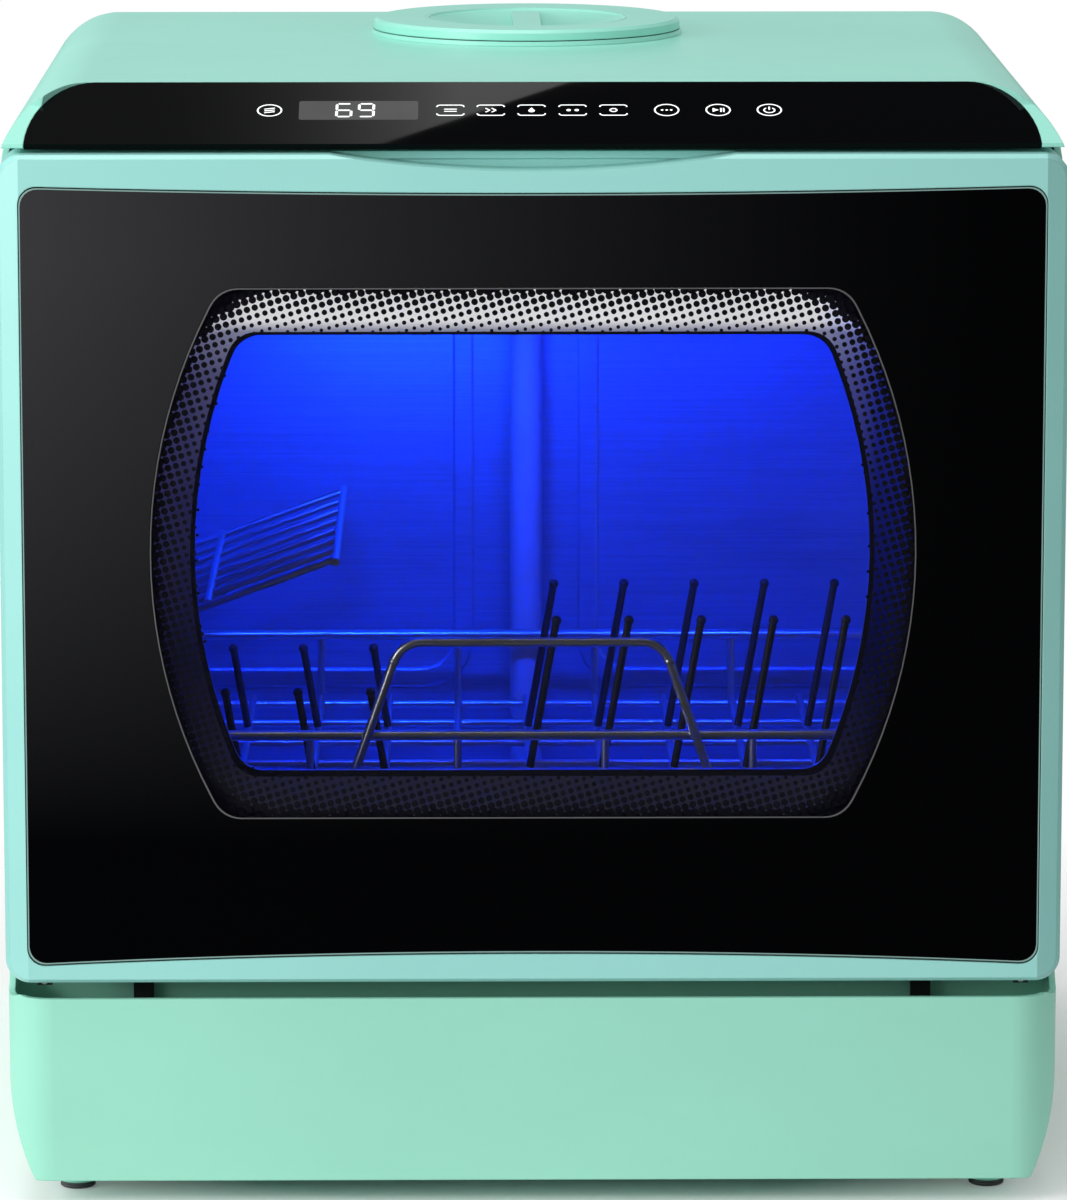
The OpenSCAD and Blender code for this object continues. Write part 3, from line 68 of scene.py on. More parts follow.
def size(name, description, default, low=0.0, high=1.0):
    """A length in metres with its name, note and limits."""
    return FloatProperty(
        name=name, description=description, default=default, min=low, max=high, precision=4, unit="LENGTH"
    )


def number(name, description, default, low=0.0):
    """A plain number, such as a lamp's power."""
    return FloatProperty(name=name, description=description, default=default, min=low)


def colour(name, description, default):
    """A linear colour."""
    return FloatVectorProperty(
        name=name, description=description, default=default, min=0.0, max=1.0, size=3, subtype="COLOR"
    )


class CasingFinish(PropertyGroup):
    """Colours of the moulded casing"""

    body: colour("Body", "Mint of the cabinet", (0.320, 0.750, 0.625))
    door: colour("Door", "Cooler mint of the door frame", (0.308, 0.666, 0.615))
    base: colour("Base", "Mint of the base", (0.300, 0.675, 0.530))
    rear: colour("Rear", "Mint of the rear cover and the bottom pan", (0.28, 0.68, 0.54))
    edge_radius: size("Edge radius", "Softening of the moulded edges", 0.0008, 0.0, 0.003)
    chamfer: size("Door chamfer", "Fall of the door frame's side strips outwards", 0.0042, 0.0, 0.01)
    grain: size("Grain", "Depth of the fine moulding grain", 0.00002, 0.0, 0.0002)


class DoorGlassSizes(PropertyGroup):
    """Outline of the door glass and its printed border"""

    bow_low: size("Lower bow", "Rise of the lower edge at its middle", 0.0048)
    bow_high: size("Upper bow", "Drop of the upper edge at its middle", 0.0028)
    corner: size("Corner", "Corner radius of the glass", 0.0068)
    window_mid: size("Window half width", "Half width of the window across its middle", 0.151)
    window_end: size("Window end half width", "Half width of the window at its corners", 0.123)
    window_height: size("Window height", "Height of the window", 0.212)
    window_corner: size("Window corner", "Corner radius of the window", 0.012)
    dot_pitch: size("Dot pitch", "Spacing of the printed dots", 0.0032)
    dot_band: size("Dot band", "Width of the printed dots' band", 0.0185)
    dot_tilt: FloatProperty(
        name="Dot tilt", description="Slope of the rows of dots", default=math.radians(16.5), subtype="ANGLE"
    )
    smallest_dot: size("Smallest dot", "Radius of a dot at the band's inner edge", 0.00045)


class PanelPrint(PropertyGroup):
    """Sizes of the printing on the sloping panel"""

    run: size("Run", "Level length of the slope", 0.048)
    rise: size("Rise", "Height of the slope", 0.0195)
    row: size("Row", "Distance of the symbols up the slope", 0.0278)
    oval: size("Symbol", "Width of a round symbol", 0.0100)
    bracket: size("Bracket", "Width of a bracketed symbol", 0.0112)
    line: size("Line", "Width of the printed lines", 0.00062)
    digit_height: size("Digit height", "Height of a digit on the display", 0.0106)
    digit_width: size("Digit width", "Width of a digit on the display", 0.0057)
    ink: colour("Ink", "Colour of the printing", (0.86, 0.87, 0.88))


class StageSettings(PropertyGroup):
    """Camera and studio light"""

    distance: size("Camera distance", "Level distance of the camera before the door", 2.6, 0.5, 8.0)
    height: size("Camera height", "Height of the camera above the counter", 0.7098, 0.0, 4.0)
    side: size("Camera side", "Camera's place across the machine", -0.0275, -1.0, 1.0)
    aim_height: size("Aim height", "Height that the camera looks at", 0.2458)
    aim_side: size("Aim side", "Place across the machine that the camera looks at", 0.0001, -1.0, 1.0)
    lens: number("Lens", "Focal length of the camera", 200.9, 10.0)
    key: number("Key light", "Power of the left light in watts", 19.0)
    fill: number("Fill light", "Power of the right light in watts", 1.5)
    top: number("Top light", "Power of the overhead light in watts", 14.0)
    world: number("World", "Strength of the pale surroundings", 0.56)
    mirror: number("Mirror", "Strength of the surroundings in reflections", 0.06)
    glow: number("Glow", "Power of each blue tub light in watts", 1.3)


class TrimCounts(PropertyGroup):
    """Counts of small repeated details"""

    foot_grooves: IntProperty(name="Foot grooves", description="Grooves round a rubber foot", default=2)
    thread_turns: IntProperty(name="Thread turns", description="Ridges on the water inlet", default=6)
    tub_ribs: IntProperty(name="Tub ribs", description="Pressed ribs on each tub side", default=5)
    lens_ribs: IntProperty(name="Lens ribs", description="Ribs on each lamp lens", default=9)
    lid_bead: size("Lid bead", "Inner radius of the bead round the lid's dish", 0.0416)


GROUPS = {
    "dish_casing": CasingFinish,
    "dish_glass": DoorGlassSizes,
    "dish_print": PanelPrint,
    "dish_stage": StageSettings,
    "dish_trim": TrimCounts,
}


# ---- Shader maths ----


def arithmetic(operation, swapped=False):
    """A method that puts a maths node between a value and another."""
    return lambda self, other: self.maths(operation, other, swapped)


class Value:
    """A shader socket that takes part in arithmetic."""

    def __init__(self, finish, socket):
        self.finish = finish
        self.socket = socket

    def maths(self, operation, other=None, swapped=False):
        pair = (other, self) if swapped else (self, other)
        inputs = {i: v for i, v in enumerate(pair) if v is not None}
        return self.finish.node("ShaderNodeMath", {"operation": operation}, inputs)

    __add__ = arithmetic("ADD")
    __radd__ = arithmetic("ADD", True)
    __sub__ = arithmetic("SUBTRACT")
    __rsub__ = arithmetic("SUBTRACT", True)
    __mul__ = arithmetic("MULTIPLY")
    __rmul__ = arithmetic("MULTIPLY", True)
    __gt__ = arithmetic("GREATER_THAN")
    __lt__ = arithmetic("LESS_THAN")


class Finish:
    """A procedural material under construction."""

    def __init__(self, name, **constants):
        self.material = bpy.data.materials.new(name)
        self.material.use_nodes = True
        self.tree = self.material.node_tree
        self.tree.nodes.clear()
        self.shader = self.tree.nodes.new("ShaderNodeBsdfPrincipled")
        self.output = self.tree.nodes.new("ShaderNodeOutputMaterial")
        self.tree.links.new(self.shader.outputs[0], self.output.inputs[0])
        self.place = self.node("ShaderNodeTexCoord", {}, {}, "Object")
        self.normal = None
        for key, value in constants.items():
            self.put(key.replace("_", " ").title().replace("Ior", "IOR"), value)

    def node(self, kind, settings, inputs, out=0):
        """Adds a node: its settings first, then the values or links of its sockets."""
        made = self.tree.nodes.new(kind)
        for key, value in settings.items():
            if key == "stops":
                self.stops(made.color_ramp, value)
            else:
                setattr(made, key, value)
        for key, value in inputs.items():
            self.feed(made.inputs[key], value)
        return Value(self, made.outputs[out])

    def stops(self, ramp, stops):
        while len(ramp.elements) < len(stops):
            ramp.elements.new(0.5)
        for element, (position, rgb) in zip(ramp.elements, stops):
            element.position = position
            element.color = (*rgb, 1.0)

    def feed(self, socket, value):
        if isinstance(value, Value):
            self.tree.links.new(value.socket, socket)
        elif socket.type == "RGBA":
            socket.default_value = (*value, 1.0)
        else:
            socket.default_value = value

    def put(self, name, value):
        self.feed(self.shader.inputs[name], value)

    def tint(self, factor, first, second):
        """Colours the surface with a mix of two colours."""
        self.put("Base Color", self.blend(factor, first, second))

    def rough(self, value):
        self.put("Roughness", value)

    def stretched(self, scale):
        """Object coordinates scaled along each axis."""
        return self.node("ShaderNodeVectorMath", {"operation": "MULTIPLY"}, {0: self.place, 1: scale})

    def noise(self, scale, detail=2.0, roughness=0.5, stretch=(1.0, 1.0, 1.0)):
        """Smooth noise from 0 to 1, with scale in cells a metre."""
        inputs = {"Vector": self.stretched(stretch), "Scale": scale, "Detail": detail, "Roughness": roughness}
        return self.node("ShaderNodeTexNoise", {}, inputs)

    def cells(self, scale, feature="F1", out="Distance"):
        """Distance to scattered points, with scale in cells a metre."""
        inputs = {"Vector": self.place, "Scale": scale}
        return self.node("ShaderNodeTexVoronoi", {"feature": feature}, inputs, out)

    def axis(self, name):
        """One object coordinate in metres."""
        return self.node("ShaderNodeSeparateXYZ", {}, {0: self.place}, name)

    def span(self, value, low, high):
        """Value mapped so that low is 0 and high is 1, clamped."""
        inputs = {"Value": value, "From Min": low, "From Max": high}
        return self.node("ShaderNodeMapRange", {"clamp": True}, inputs)

    def blend(self, factor, first, second):
        """Mix of two colours."""
        inputs = {"Factor": factor, 6: first, 7: second}
        return self.node("ShaderNodeMix", {"data_type": "RGBA"}, inputs, 2)

    def soften(self, radius):
        """Rounds sharp edges in the shading."""
        self.normal = self.node("ShaderNodeBevel", {"samples": 4}, {"Radius": radius})
        self.put("Normal", self.normal)

    def bump(self, height, depth, strength=1.0):
        """Raises the surface by height times depth in metres."""
        inputs = {"Height": height, "Distance": depth, "Strength": strength}
        if self.normal:
            inputs["Normal"] = self.normal
        self.normal = self.node("ShaderNodeBump", {}, inputs)
        self.put("Normal", self.normal)


# ---- Materials ----


def shade(rgb, factor):
    """A colour made lighter or darker."""
    return tuple(min(c * factor, 1.0) for c in rgb)


def mint_casing(name, rgb, chamfer=0.0):
    """Satin mint moulding with orange peel, faint flow marks and handling haze."""
    settings = bpy.context.scene.dish_casing
    f = Finish(name, specular_ior_level=0.4, coat_roughness=0.12)
    flow = f.noise(5.0, 3.0, 0.5, (1.0, 1.0, 2.2))
    haze_and_painted_reflection = f.noise(38.0, 4.0, 0.6)
    f.tint(f.span(flow, 0.3, 0.7), shade(rgb, 0.965), shade(rgb, 1.03))
    f.rough(0.30 + 0.10 * haze_and_painted_reflection)
    f.put("Coat Weight", 0.15)
    f.soften(settings.edge_radius)
    if chamfer:
        outward = f.axis("X").maths("ABSOLUTE")
        f.bump(1.0 - f.span(outward, GLASS_HIGH.x, GLASS_HIGH.x + 0.009), chamfer)
    peel = f.noise(420.0, 2.0, 0.5)
    fine = f.cells(2600.0)
    f.bump(peel * 0.7 + fine * 0.3, settings.grain)
    return f.material


def moulded(name, rgb, roughness=0.5, grain=1500.0, depth=0.00004):
    """Plain moulded plastic with a spark-eroded grain."""
    f = Finish(name, specular_ior_level=0.4)
    patches = f.noise(24.0, 3.0, 0.55)
    f.tint(f.span(patches, 0.3, 0.7), shade(rgb, 0.9), shade(rgb, 1.08))
    f.rough(roughness - 0.06 + 0.12 * f.noise(90.0, 3.0))
    f.bump(f.cells(grain) * 0.6 + f.noise(grain * 0.4) * 0.4, depth)
    return f.material


def gloss_black(name, specular, haze_and_painted_reflection, polish):
    """Back-painted black glass with wiping marks and dust, and a painted reflection: its colour turns grey
    towards its upper left.
    """
    f = Finish(name, specular_ior_level=specular)
    wipes = f.noise(16.0, 4.0, 0.6, (1.0, 1.0, 3.5))
    dust = f.cells(620.0) < 0.035
    # painted reflection: the base colour turns grey towards the upper left, scaled by the third argument
    high = f.span(f.axis("Z"), GLASS_LOW.z + 0.05, GLASS_HIGH.z - 0.03)
    left = f.span(f.axis("X"), GLASS_HIGH.x, GLASS_LOW.x)
    bloom_and_painted_reflection = high * left * left * haze_and_painted_reflection
    plain = f.blend(bloom_and_painted_reflection, (0.0010, 0.0011, 0.0014), (0.075, 0.075, 0.080))
    f.tint(dust * 0.12, plain, (0.05, 0.05, 0.055))
    f.rough(polish + polish * f.span(wipes, 0.45, 0.8) + 0.3 * dust)
    return f.material


def clear_pane(name, rgb, alpha):
    """Clear glass that keeps a thin gloss, a little denser where it was wiped."""
    f = Finish(name, base_color=rgb, specular_ior_level=0.06)
    wipes = f.span(f.noise(14.0, 4.0, 0.6, (1.0, 1.0, 3.0)), 0.5, 0.9)
    f.put("Alpha", alpha + 0.03 * wipes)
    f.rough(0.03 + 0.05 * wipes)
    f.material.surface_render_method = "BLENDED"
    return f.material


def ceramic_ink(name):
    """Fired black ink of the dotted border."""
    f = Finish(name, specular_ior_level=0.3)
    f.tint(f.noise(900.0), (0.004, 0.004, 0.006), (0.010, 0.010, 0.014))
    f.rough(0.35 + 0.2 * f.noise(1500.0))
    return f.material


def printed_white(name, rgb, strength):
    """Screen-printed ink, slightly lit from behind."""
    f = Finish(name, emission_strength=strength)
    cover = f.noise(2600.0, 2.0)
    f.tint(cover, shade(rgb, 0.88), rgb)
    f.put("Emission Color", f.blend(cover, shade(rgb, 0.85), rgb))
    f.rough(0.4 + 0.2 * cover)
    return f.material


def display_lens(name):
    """Smoked grey display window with a soft lit haze."""
    f = Finish(name, specular_ior_level=0.06, emission_strength=1.0)
    haze_and_painted_reflection = f.noise(60.0, 2.0)
    f.tint(haze_and_painted_reflection, (0.020, 0.020, 0.021), (0.030, 0.030, 0.031))
    f.put("Emission Color", f.blend(haze_and_painted_reflection, (0.050, 0.050, 0.051), (0.070, 0.070, 0.071)))
    f.rough(0.18 + 0.1 * haze_and_painted_reflection)
    return f.material


def brushed_steel(name, rgb, roughness, metallic=1.0, enamel=None):
    """Rolled sheet with fine lines and water spots, enamelled black in front of the plane at Y enamel."""
    f = Finish(name, metallic=metallic)
    lines = f.noise(160.0, 4.0, 0.65, (0.06, 6.0, 9.0))
    spots = f.span(f.cells(130.0), 0.06, 0.16)
    tone = f.blend(f.span(lines, 0.3, 0.7), shade(rgb, 0.86), shade(rgb, 1.08))
    if enamel is not None:
        coated = f.axis("Y") < enamel
        tone = f.blend(coated, tone, (0.004, 0.004, 0.005))
        f.put("Metallic", 1.0 - coated)
    f.put("Base Color", tone)
    f.rough(roughness + 0.12 * lines + 0.08 * (1.0 - spots))
    f.bump(lines, 0.00003)
    return f.material


def drawn_wire(name):
    """Bright drawn wire with weld tint and fine die lines."""
    f = Finish(name, metallic=1.0)
    die = f.noise(900.0, 3.0, 0.6, (0.15, 1.0, 1.0))
    tint = f.span(f.noise(18.0, 2.0), 0.55, 0.8)
    f.tint(tint, (0.70, 0.71, 0.72), (0.62, 0.60, 0.57))
    f.rough(0.24 + 0.14 * die)
    f.bump(die, 0.00002)
    return f.material


def soft_rubber(name, rgb=(0.022, 0.022, 0.024)):
    """Matt rubber with a chalky bloom."""
    f = Finish(name, specular_ior_level=0.3)
    bloom_and_painted_reflection = f.span(f.noise(55.0, 5.0, 0.65), 0.45, 0.8)
    f.tint(bloom_and_painted_reflection, rgb, shade(rgb, 2.1))
    f.rough(0.62 + 0.2 * bloom_and_painted_reflection)
    f.bump(f.noise(1400.0, 3.0), 0.00006)
    return f.material


def circuit_board(name):
    """Green lacquer over copper tracks, with tinned pads."""
    f = Finish(name, specular_ior_level=0.5)
    across = (f.axis("X") * 260.0).maths("FRACT")
    along = (f.axis("Y") * 260.0).maths("FRACT")
    broken = f.noise(120.0, 0.0) > 0.5
    tracks = (across < 0.32) * broken + (along < 0.32) * (1.0 - broken)
    pads = f.cells(190.0) < 0.16
    lacquer = f.blend(tracks, (0.010, 0.075, 0.030), (0.025, 0.150, 0.055))
    f.tint(pads, lacquer, (0.62, 0.60, 0.55))
    f.put("Metallic", pads * 0.9)
    f.rough(0.34 + 0.1 * f.noise(300.0))
    f.bump(tracks + pads, 0.00003)
    return f.material


def heater_sheath(name):
    """Steel sheath with straw and blue heat tint and a scale crust."""
    f = Finish(name, metallic=1.0)
    heat = f.noise(30.0, 3.0)
    stops = [(0.3, (0.45, 0.42, 0.40)), (0.5, (0.42, 0.28, 0.12)), (0.7, (0.16, 0.17, 0.28))]
    f.put("Base Color", f.node("ShaderNodeValToRGB", {"stops": stops}, {0: heat}))
    f.rough(0.35 + 0.3 * f.noise(400.0, 4.0))
    f.bump(f.noise(700.0, 5.0, 0.7), 0.00008)
    return f.material


def lamp_lens(name):
    """Diffusing lens, brightest over its chips."""
    counts = bpy.context.scene.dish_trim
    f = Finish(name, emission_strength=3.0, roughness=0.35)
    ribs = (f.axis("X") * (counts.lens_ribs / 0.07)).maths("FRACT")
    chips = f.span((ribs - 0.5).maths("ABSOLUTE"), 0.5, 0.1)
    f.tint(chips, (0.25, 0.35, 0.9), (0.7, 0.8, 1.0))
    f.put("Emission Color", f.blend(chips, (0.004, 0.03, 0.75), (0.10, 0.20, 1.0)))
    f.bump(chips, 0.0002)
    return f.material


def painted_light_shroud(name):
    """Pearl plastic round the window, with painted light: its glow paints the lamps' light and a white
    highlight above, painted shade dark below, and purple and blue painted reflection at the sides.
    """
    f = Finish(name, roughness=0.38, specular_ior_level=0.1, emission_strength=1.0)
    height = f.span(f.axis("Z"), TRIM_LOW.z, TRIM_HIGH.z)
    width = f.span(f.axis("X"), TRIM_LOW.x, TRIM_HIGH.x)
    # painted light and shade by height: dark below, brighter upwards, a white painted highlight band at the
    # top
    up = [
        (0.00, (0.016, 0.016, 0.022)),
        (0.30, (0.012, 0.012, 0.030)),
        (0.60, (0.050, 0.050, 0.120)),
        (0.82, (0.120, 0.120, 0.230)),
        (0.900, (0.260, 0.270, 0.380)),
        (0.922, (0.880, 0.880, 0.890)),
    ]
    painted_light_by_height = f.node("ShaderNodeValToRGB", {"stops": up}, {0: height})
    # painted reflection colour across the window: purple to the left, blue to the right, white at the two
    # ends
    ends = f.span((width - 0.5).maths("ABSOLUTE"), 0.37, 0.45)
    tint = f.blend(f.span(width, 0.4, 0.6), (0.42, 0.40, 0.62), (0.10, 0.16, 1.00))
    sides = f.blend(ends, (1.0, 1.0, 1.0), tint)
    lit = f.node("ShaderNodeVectorMath", {"operation": "MULTIPLY"}, {0: painted_light_by_height, 1: sides})
    # noise varies the painted glow a little; the same painted light, dimmer, is also the base colour
    grain = 0.9 + 0.2 * f.noise(35.0, 3.0)
    f.put("Emission Color", f.node("ShaderNodeVectorMath", {"operation": "SCALE"}, {0: lit, "Scale": grain}))
    f.put("Base Color", f.node("ShaderNodeVectorMath", {"operation": "SCALE"}, {0: lit, "Scale": 0.4}))
    f.bump(f.noise(500.0), 0.00003)
    return f.material


def tank_wall(name):
    """Milky polymer with clouding."""
    f = Finish(name, roughness=0.4)
    cloud = f.noise(12.0, 4.0, 0.6)
    f.tint(cloud, (0.62, 0.68, 0.70), (0.80, 0.84, 0.85))
    f.rough(0.34 + 0.18 * cloud)
    f.bump(f.noise(260.0, 3.0), 0.00008)
    return f.material


def motor_paint(name):
    """Dark powder coat with pits."""
    f = Finish(name, metallic=0.2)
    f.tint(f.noise(200.0, 4.0), (0.05, 0.055, 0.06), (0.09, 0.095, 0.10))
    f.rough(0.5 + 0.15 * f.noise(320.0))
    f.bump(f.cells(900.0), 0.0001)
    return f.material


def make_finishes():
    """Every material, by the name used in the tables below."""
    casing = bpy.context.scene.dish_casing
    ink = bpy.context.scene.dish_print.ink
    made = [
        mint_casing("mint_body", casing.body),
        mint_casing("mint_door", casing.door, casing.chamfer),
        mint_casing("mint_base", casing.base),
        mint_casing("mint_rear", casing.rear),
        # the door glass gets a painted reflection of strength 0.45, the panel glass none
        gloss_black("door_black_glass", 0.035, 0.45, 0.045),
        gloss_black("panel_black_glass", 0.07, 0.0, 0.014),
        clear_pane("door_clear_glass", (0.004, 0.004, 0.010), 0.18),
        clear_pane("inner_clear_glass", (0.05, 0.06, 0.09), 0.04),
        ceramic_ink("dot_ink"),
        printed_white("symbol_ink", ink, 0.75),
        printed_white("digit_light", (0.80, 0.81, 0.82), 0.55),
        display_lens("display_lens"),
        # tub steel: the sheet and its brushing are real, its blue cast is painted light standing in for the
        # blue tub lamps
        brushed_steel("tub_sheet", (0.30, 0.43, 0.58), 0.34, 0.75),
        brushed_steel("door_sheet", (0.56, 0.58, 0.61), 0.30, enamel=PANE_HIGH.y + 0.0006),
        brushed_steel("filter_sheet", (0.50, 0.51, 0.53), 0.36),
        brushed_steel("screw_steel", (0.60, 0.61, 0.63), 0.22),
        brushed_steel("trim_silver", (0.55, 0.56, 0.58), 0.25),
        moulded("line_silver", (0.10, 0.10, 0.105), 0.3),
        # pale colour of the painted highlight along the glass's polished bevel
        moulded("painted_highlight_line", (0.22, 0.36, 0.33), 0.3),
        drawn_wire("rack_wire"),
        moulded("nylon_coat", (0.020, 0.020, 0.022), 0.42, 1200.0),
        moulded("black_moulding", (0.016, 0.016, 0.018), 0.45),
        moulded("sump_plastic", (0.050, 0.054, 0.062), 0.5),
        moulded("grey_moulding", (0.34, 0.36, 0.39), 0.42),
        moulded("white_moulding", (0.72, 0.72, 0.69), 0.42),
        moulded("valve_plastic", (0.03, 0.07, 0.24), 0.42),
        moulded("relay_plastic", (0.03, 0.03, 0.035), 0.5),
        soft_rubber("black_rubber"),
        soft_rubber("foot_rubber", (0.070, 0.070, 0.074)),
        soft_rubber("gasket_rubber", (0.045, 0.046, 0.050)),
        circuit_board("circuit_board"),
        heater_sheath("heater_sheath"),
        lamp_lens("lamp_lens"),
        painted_light_shroud("painted_light_shroud"),
        tank_wall("tank_wall"),
        motor_paint("motor_paint"),
    ]
    return {m.name: m for m in made}


NODE_FINISHES = {
    "mint_body": ["cabinet_shell", "fill_lid", "fill_collar"],
    "mint_door": ["door_frame"],
    "mint_base": ["base_shell"],
    "mint_rear": ["rear_cover", "bottom_pan"],
    "panel_black_glass": ["control_glass"],
    "door_black_glass": ["door_glass"],
    "inner_clear_glass": ["inner_window_pane"],
    "tub_sheet": ["tub", "tub_front_frame"],
    "door_sheet": ["door_inner_panel"],
    "filter_sheet": ["filter_plate"],
    "screw_steel": ["rear_cover_screws", "hinge_pins"],
    "trim_silver": ["window_trim"],
    "rack_wire": ["rack_floor", "rack_walls", "cup_shelf"],
    "nylon_coat": ["rack_tines"],
    "black_moulding": [
        "control_tray", "display_module", "hinge_brackets", "hinge_clevises", "door_hook", "cord_gland",
        "fan_impeller",
    ],
    "sump_plastic": [
        "sump", "wash_pump_housing", "drain_pump_body", "fan_housing", "drain_connector", "latch_jaws",
    ],
    "grey_moulding": [
        "rack_runners", "rack_glides", "filter_basket", "upper_feed_pipe", "lower_arm_post",
        "lower_spray_arm", "upper_spray_arm", "drain_hose", "cup_shelf_clips", "detergent_cup",
    ],
    "white_moulding": ["wash_pump_impeller", "drain_pump_impeller", "hinge_bushes"],
    "valve_plastic": ["inlet_valve"],
    "black_rubber": ["fill_lid_seal", "inner_window_seal", "door_bumpers"],
    "foot_rubber": ["rubber_feet"],
    "gasket_rubber": ["door_gasket"],
    "circuit_board": ["control_board", "power_board"],
    "heater_sheath": ["heating_element"],
    "lamp_lens": ["cavity_lamps"],
    "painted_light_shroud": ["window_shroud"],
    "tank_wall": ["water_tank"],
    "motor_paint": ["wash_pump_motor"],
}


# ---- Shapes ----


def finished(obj, finish, body, angle=35.0):
    """Gives a new piece its material, smooth shading and CAD body."""
    obj.data.materials.clear()
    obj.data.materials.append(bpy.data.materials[finish])
    smooth(obj, angle)
    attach(obj, body)
    return obj


def smooth(obj, angle):
    """Smooth shading with sharp edges past an angle in degrees."""
    mesh = obj.data
    mesh.shade_smooth()
    mesh.set_sharp_from_angle(angle=math.radians(angle))


def linked(name, data):
    """A new object in the scene."""
    obj = bpy.data.objects.new(name, data)
    bpy.context.scene.collection.objects.link(obj)
    return obj


def from_bmesh(name, work):
    """A new object from a bmesh, which is freed."""
    mesh = bpy.data.meshes.new(name)
    bmesh.ops.recalc_face_normals(work, faces=work.faces)
    work.to_mesh(mesh)
    work.free()
    return linked(name, mesh)


def plate(name, outlines, thickness, bevel, place):
    """A flat plate with holes, from closed outlines; place turns its own X, Y and Z into the frame's."""
    curve = bpy.data.curves.new(name, "CURVE")
    curve.dimensions = "2D"
    curve.fill_mode = "BOTH"
    curve.extrude = max(thickness / 2 - bevel, 0.0)
    curve.bevel_depth = bevel
    curve.bevel_resolution = 1
    curve.offset = -bevel
    for outline in outlines:
        spline = curve.splines.new("POLY")
        spline.points.add(len(outline) - 1)
        for point, (x, y) in zip(spline.points, outline):
            point.co = (x, y, 0.0, 1.0)
        spline.use_cyclic_u = True
    holder = linked(name + "_curve", curve)
    bpy.context.view_layer.update()
    mesh = bpy.data.meshes.new_from_object(holder.evaluated_get(bpy.context.evaluated_depsgraph_get()))
    bpy.data.objects.remove(holder)
    mesh.transform(place)
    mesh.name = name
    return linked(name, mesh)


def joined(name, objs):
    """One object from several, without operators."""
    work = bmesh.new()
    for obj in objs:
        work.from_mesh(obj.data)
        bpy.data.objects.remove(obj)
    return from_bmesh(name, work)


def turned(name, profile, centre, axis="Z", steps=48):
    """A closed turned shape: profile is (radius, height) pairs about an axis."""
    work = bmesh.new()
    rings = []
    for radius, height in profile:
        ring = []
        for i in range(steps):
            a = 2 * math.pi * i / steps
            ring.append(work.verts.new((radius * math.cos(a), radius * math.sin(a), height)))
        rings.append(ring)
    for low, high in zip(rings, rings[1:]):
        for i in range(steps):
            j = (i + 1) % steps
            work.faces.new((low[i], low[j], high[j], high[i]))
    work.faces.new(list(reversed(rings[0])))
    work.faces.new(rings[-1])
    if axis == "Y":
        bmesh.ops.rotate(work, verts=work.verts, matrix=Matrix.Rotation(math.radians(-90), 3, "X"))
    bmesh.ops.translate(work, verts=work.verts, vec=Vector(centre))
    return from_bmesh(name, work)


def opened(obj):
    """Takes away a turned piece's round end faces, so that it doesn't close a bore or a dish."""
    work = bmesh.new()
    work.from_mesh(obj.data)
    bmesh.ops.delete(work, geom=[f for f in work.faces if len(f.verts) > 4], context="FACES_ONLY")
    work.to_mesh(obj.data)
    work.free()
    return obj


def swept(name, path, section):
    """A section of (outward, along) pairs swept round a closed path in X and Z."""
    work = bmesh.new()
    rings = []
    count = len(path)
    for i, (x, y, z) in enumerate(path):
        ahead = Vector(path[(i + 1) % count]) - Vector(path[i - 1])
        out = Vector((ahead.z, 0.0, -ahead.x)).normalized()
        rings.append([work.verts.new(Vector((x, y, z)) + out * o + Vector((0, a, 0))) for o, a in section])
    for i, ring in enumerate(rings):
        other = rings[(i + 1) % count]
        for k in range(len(section)):
            m = (k + 1) % len(section)
            work.faces.new((ring[k], ring[m], other[m], other[k]))
    return from_bmesh(name, work)


def arc(cx, cy, radius, start, stop, steps):
    """Points on an arc, angles in degrees."""
    angles = [math.radians(start + (stop - start) * i / steps) for i in range(steps + 1)]
    return [(cx + radius * math.cos(a), cy + radius * math.sin(a)) for a in angles]


def rounded(points, radius, steps=6):
    """A polygon's outline, anticlockwise, with round corners wherever it turns by more than 20 degrees."""
    out = []
    count = len(points)
    for i in range(count):
        a, b, c = (Vector(points[(i + k) % count]) for k in (-1, 0, 1))
        first, second = (a - b).normalized(), (c - b).normalized()
        turn = math.pi - first.angle(second)
        if turn < math.radians(20):
            out.append(tuple(b))
            continue
        reach = radius * math.tan(turn / 2)
        start, stop = b + first * reach, b + second * reach
        middle = b + (first + second).normalized() * (radius / math.cos(turn / 2))
        low = math.atan2(*(start - middle).yx)
        sweep = ((math.atan2(*(stop - middle).yx) - low + math.pi) % (2 * math.pi)) - math.pi
        for k in range(steps + 1):
            angle = low + sweep * k / steps
            out.append((middle.x + radius * math.cos(angle), middle.y + radius * math.sin(angle)))
    return out


def side_radius(mid, end, height):
    """Radius of the window's bowed sides, from its half widths at the middle and at the corners."""
    sag = mid - end
    return (height * height / 4 + sag * sag) / (2 * sag)


def barrel(mid, end, height, corner):
    """The window's outline about its middle: level top and bottom and bowed sides."""
    big = side_radius(mid, end, height)
    half = math.asin(height / 2 / big)
    angles = [half * i / 12 for i in range(-12, 13)]
    side = [(mid - big + big * math.cos(a), big * math.sin(a)) for a in angles]
    return rounded(side + [(-x, -y) for x, y in side], corner)


def rectangle(half_wide, half_tall, corner):
    """A round-cornered rectangle about its middle."""
    signs = ((-1, -1), (1, -1), (1, 1), (-1, 1))
    return rounded([(a * half_wide, b * half_tall) for a, b in signs], corner)


def glass_edge(shrink):
    """The door glass's outline in X and Z."""
    g = bpy.context.scene.dish_glass
    half = GLASS_HIGH.x - shrink
    low, high = GLASS_LOW.z + shrink, GLASS_HIGH.z - shrink
    steps = [i / 10 for i in range(-10, 11)]
    lower = [(half * t, low + g.bow_low * (1 - t * t)) for t in steps]
    upper = [(half * t, high - g.bow_high * (1 - t * t)) for t in reversed(steps)]
    return rounded(lower + upper, g.corner)


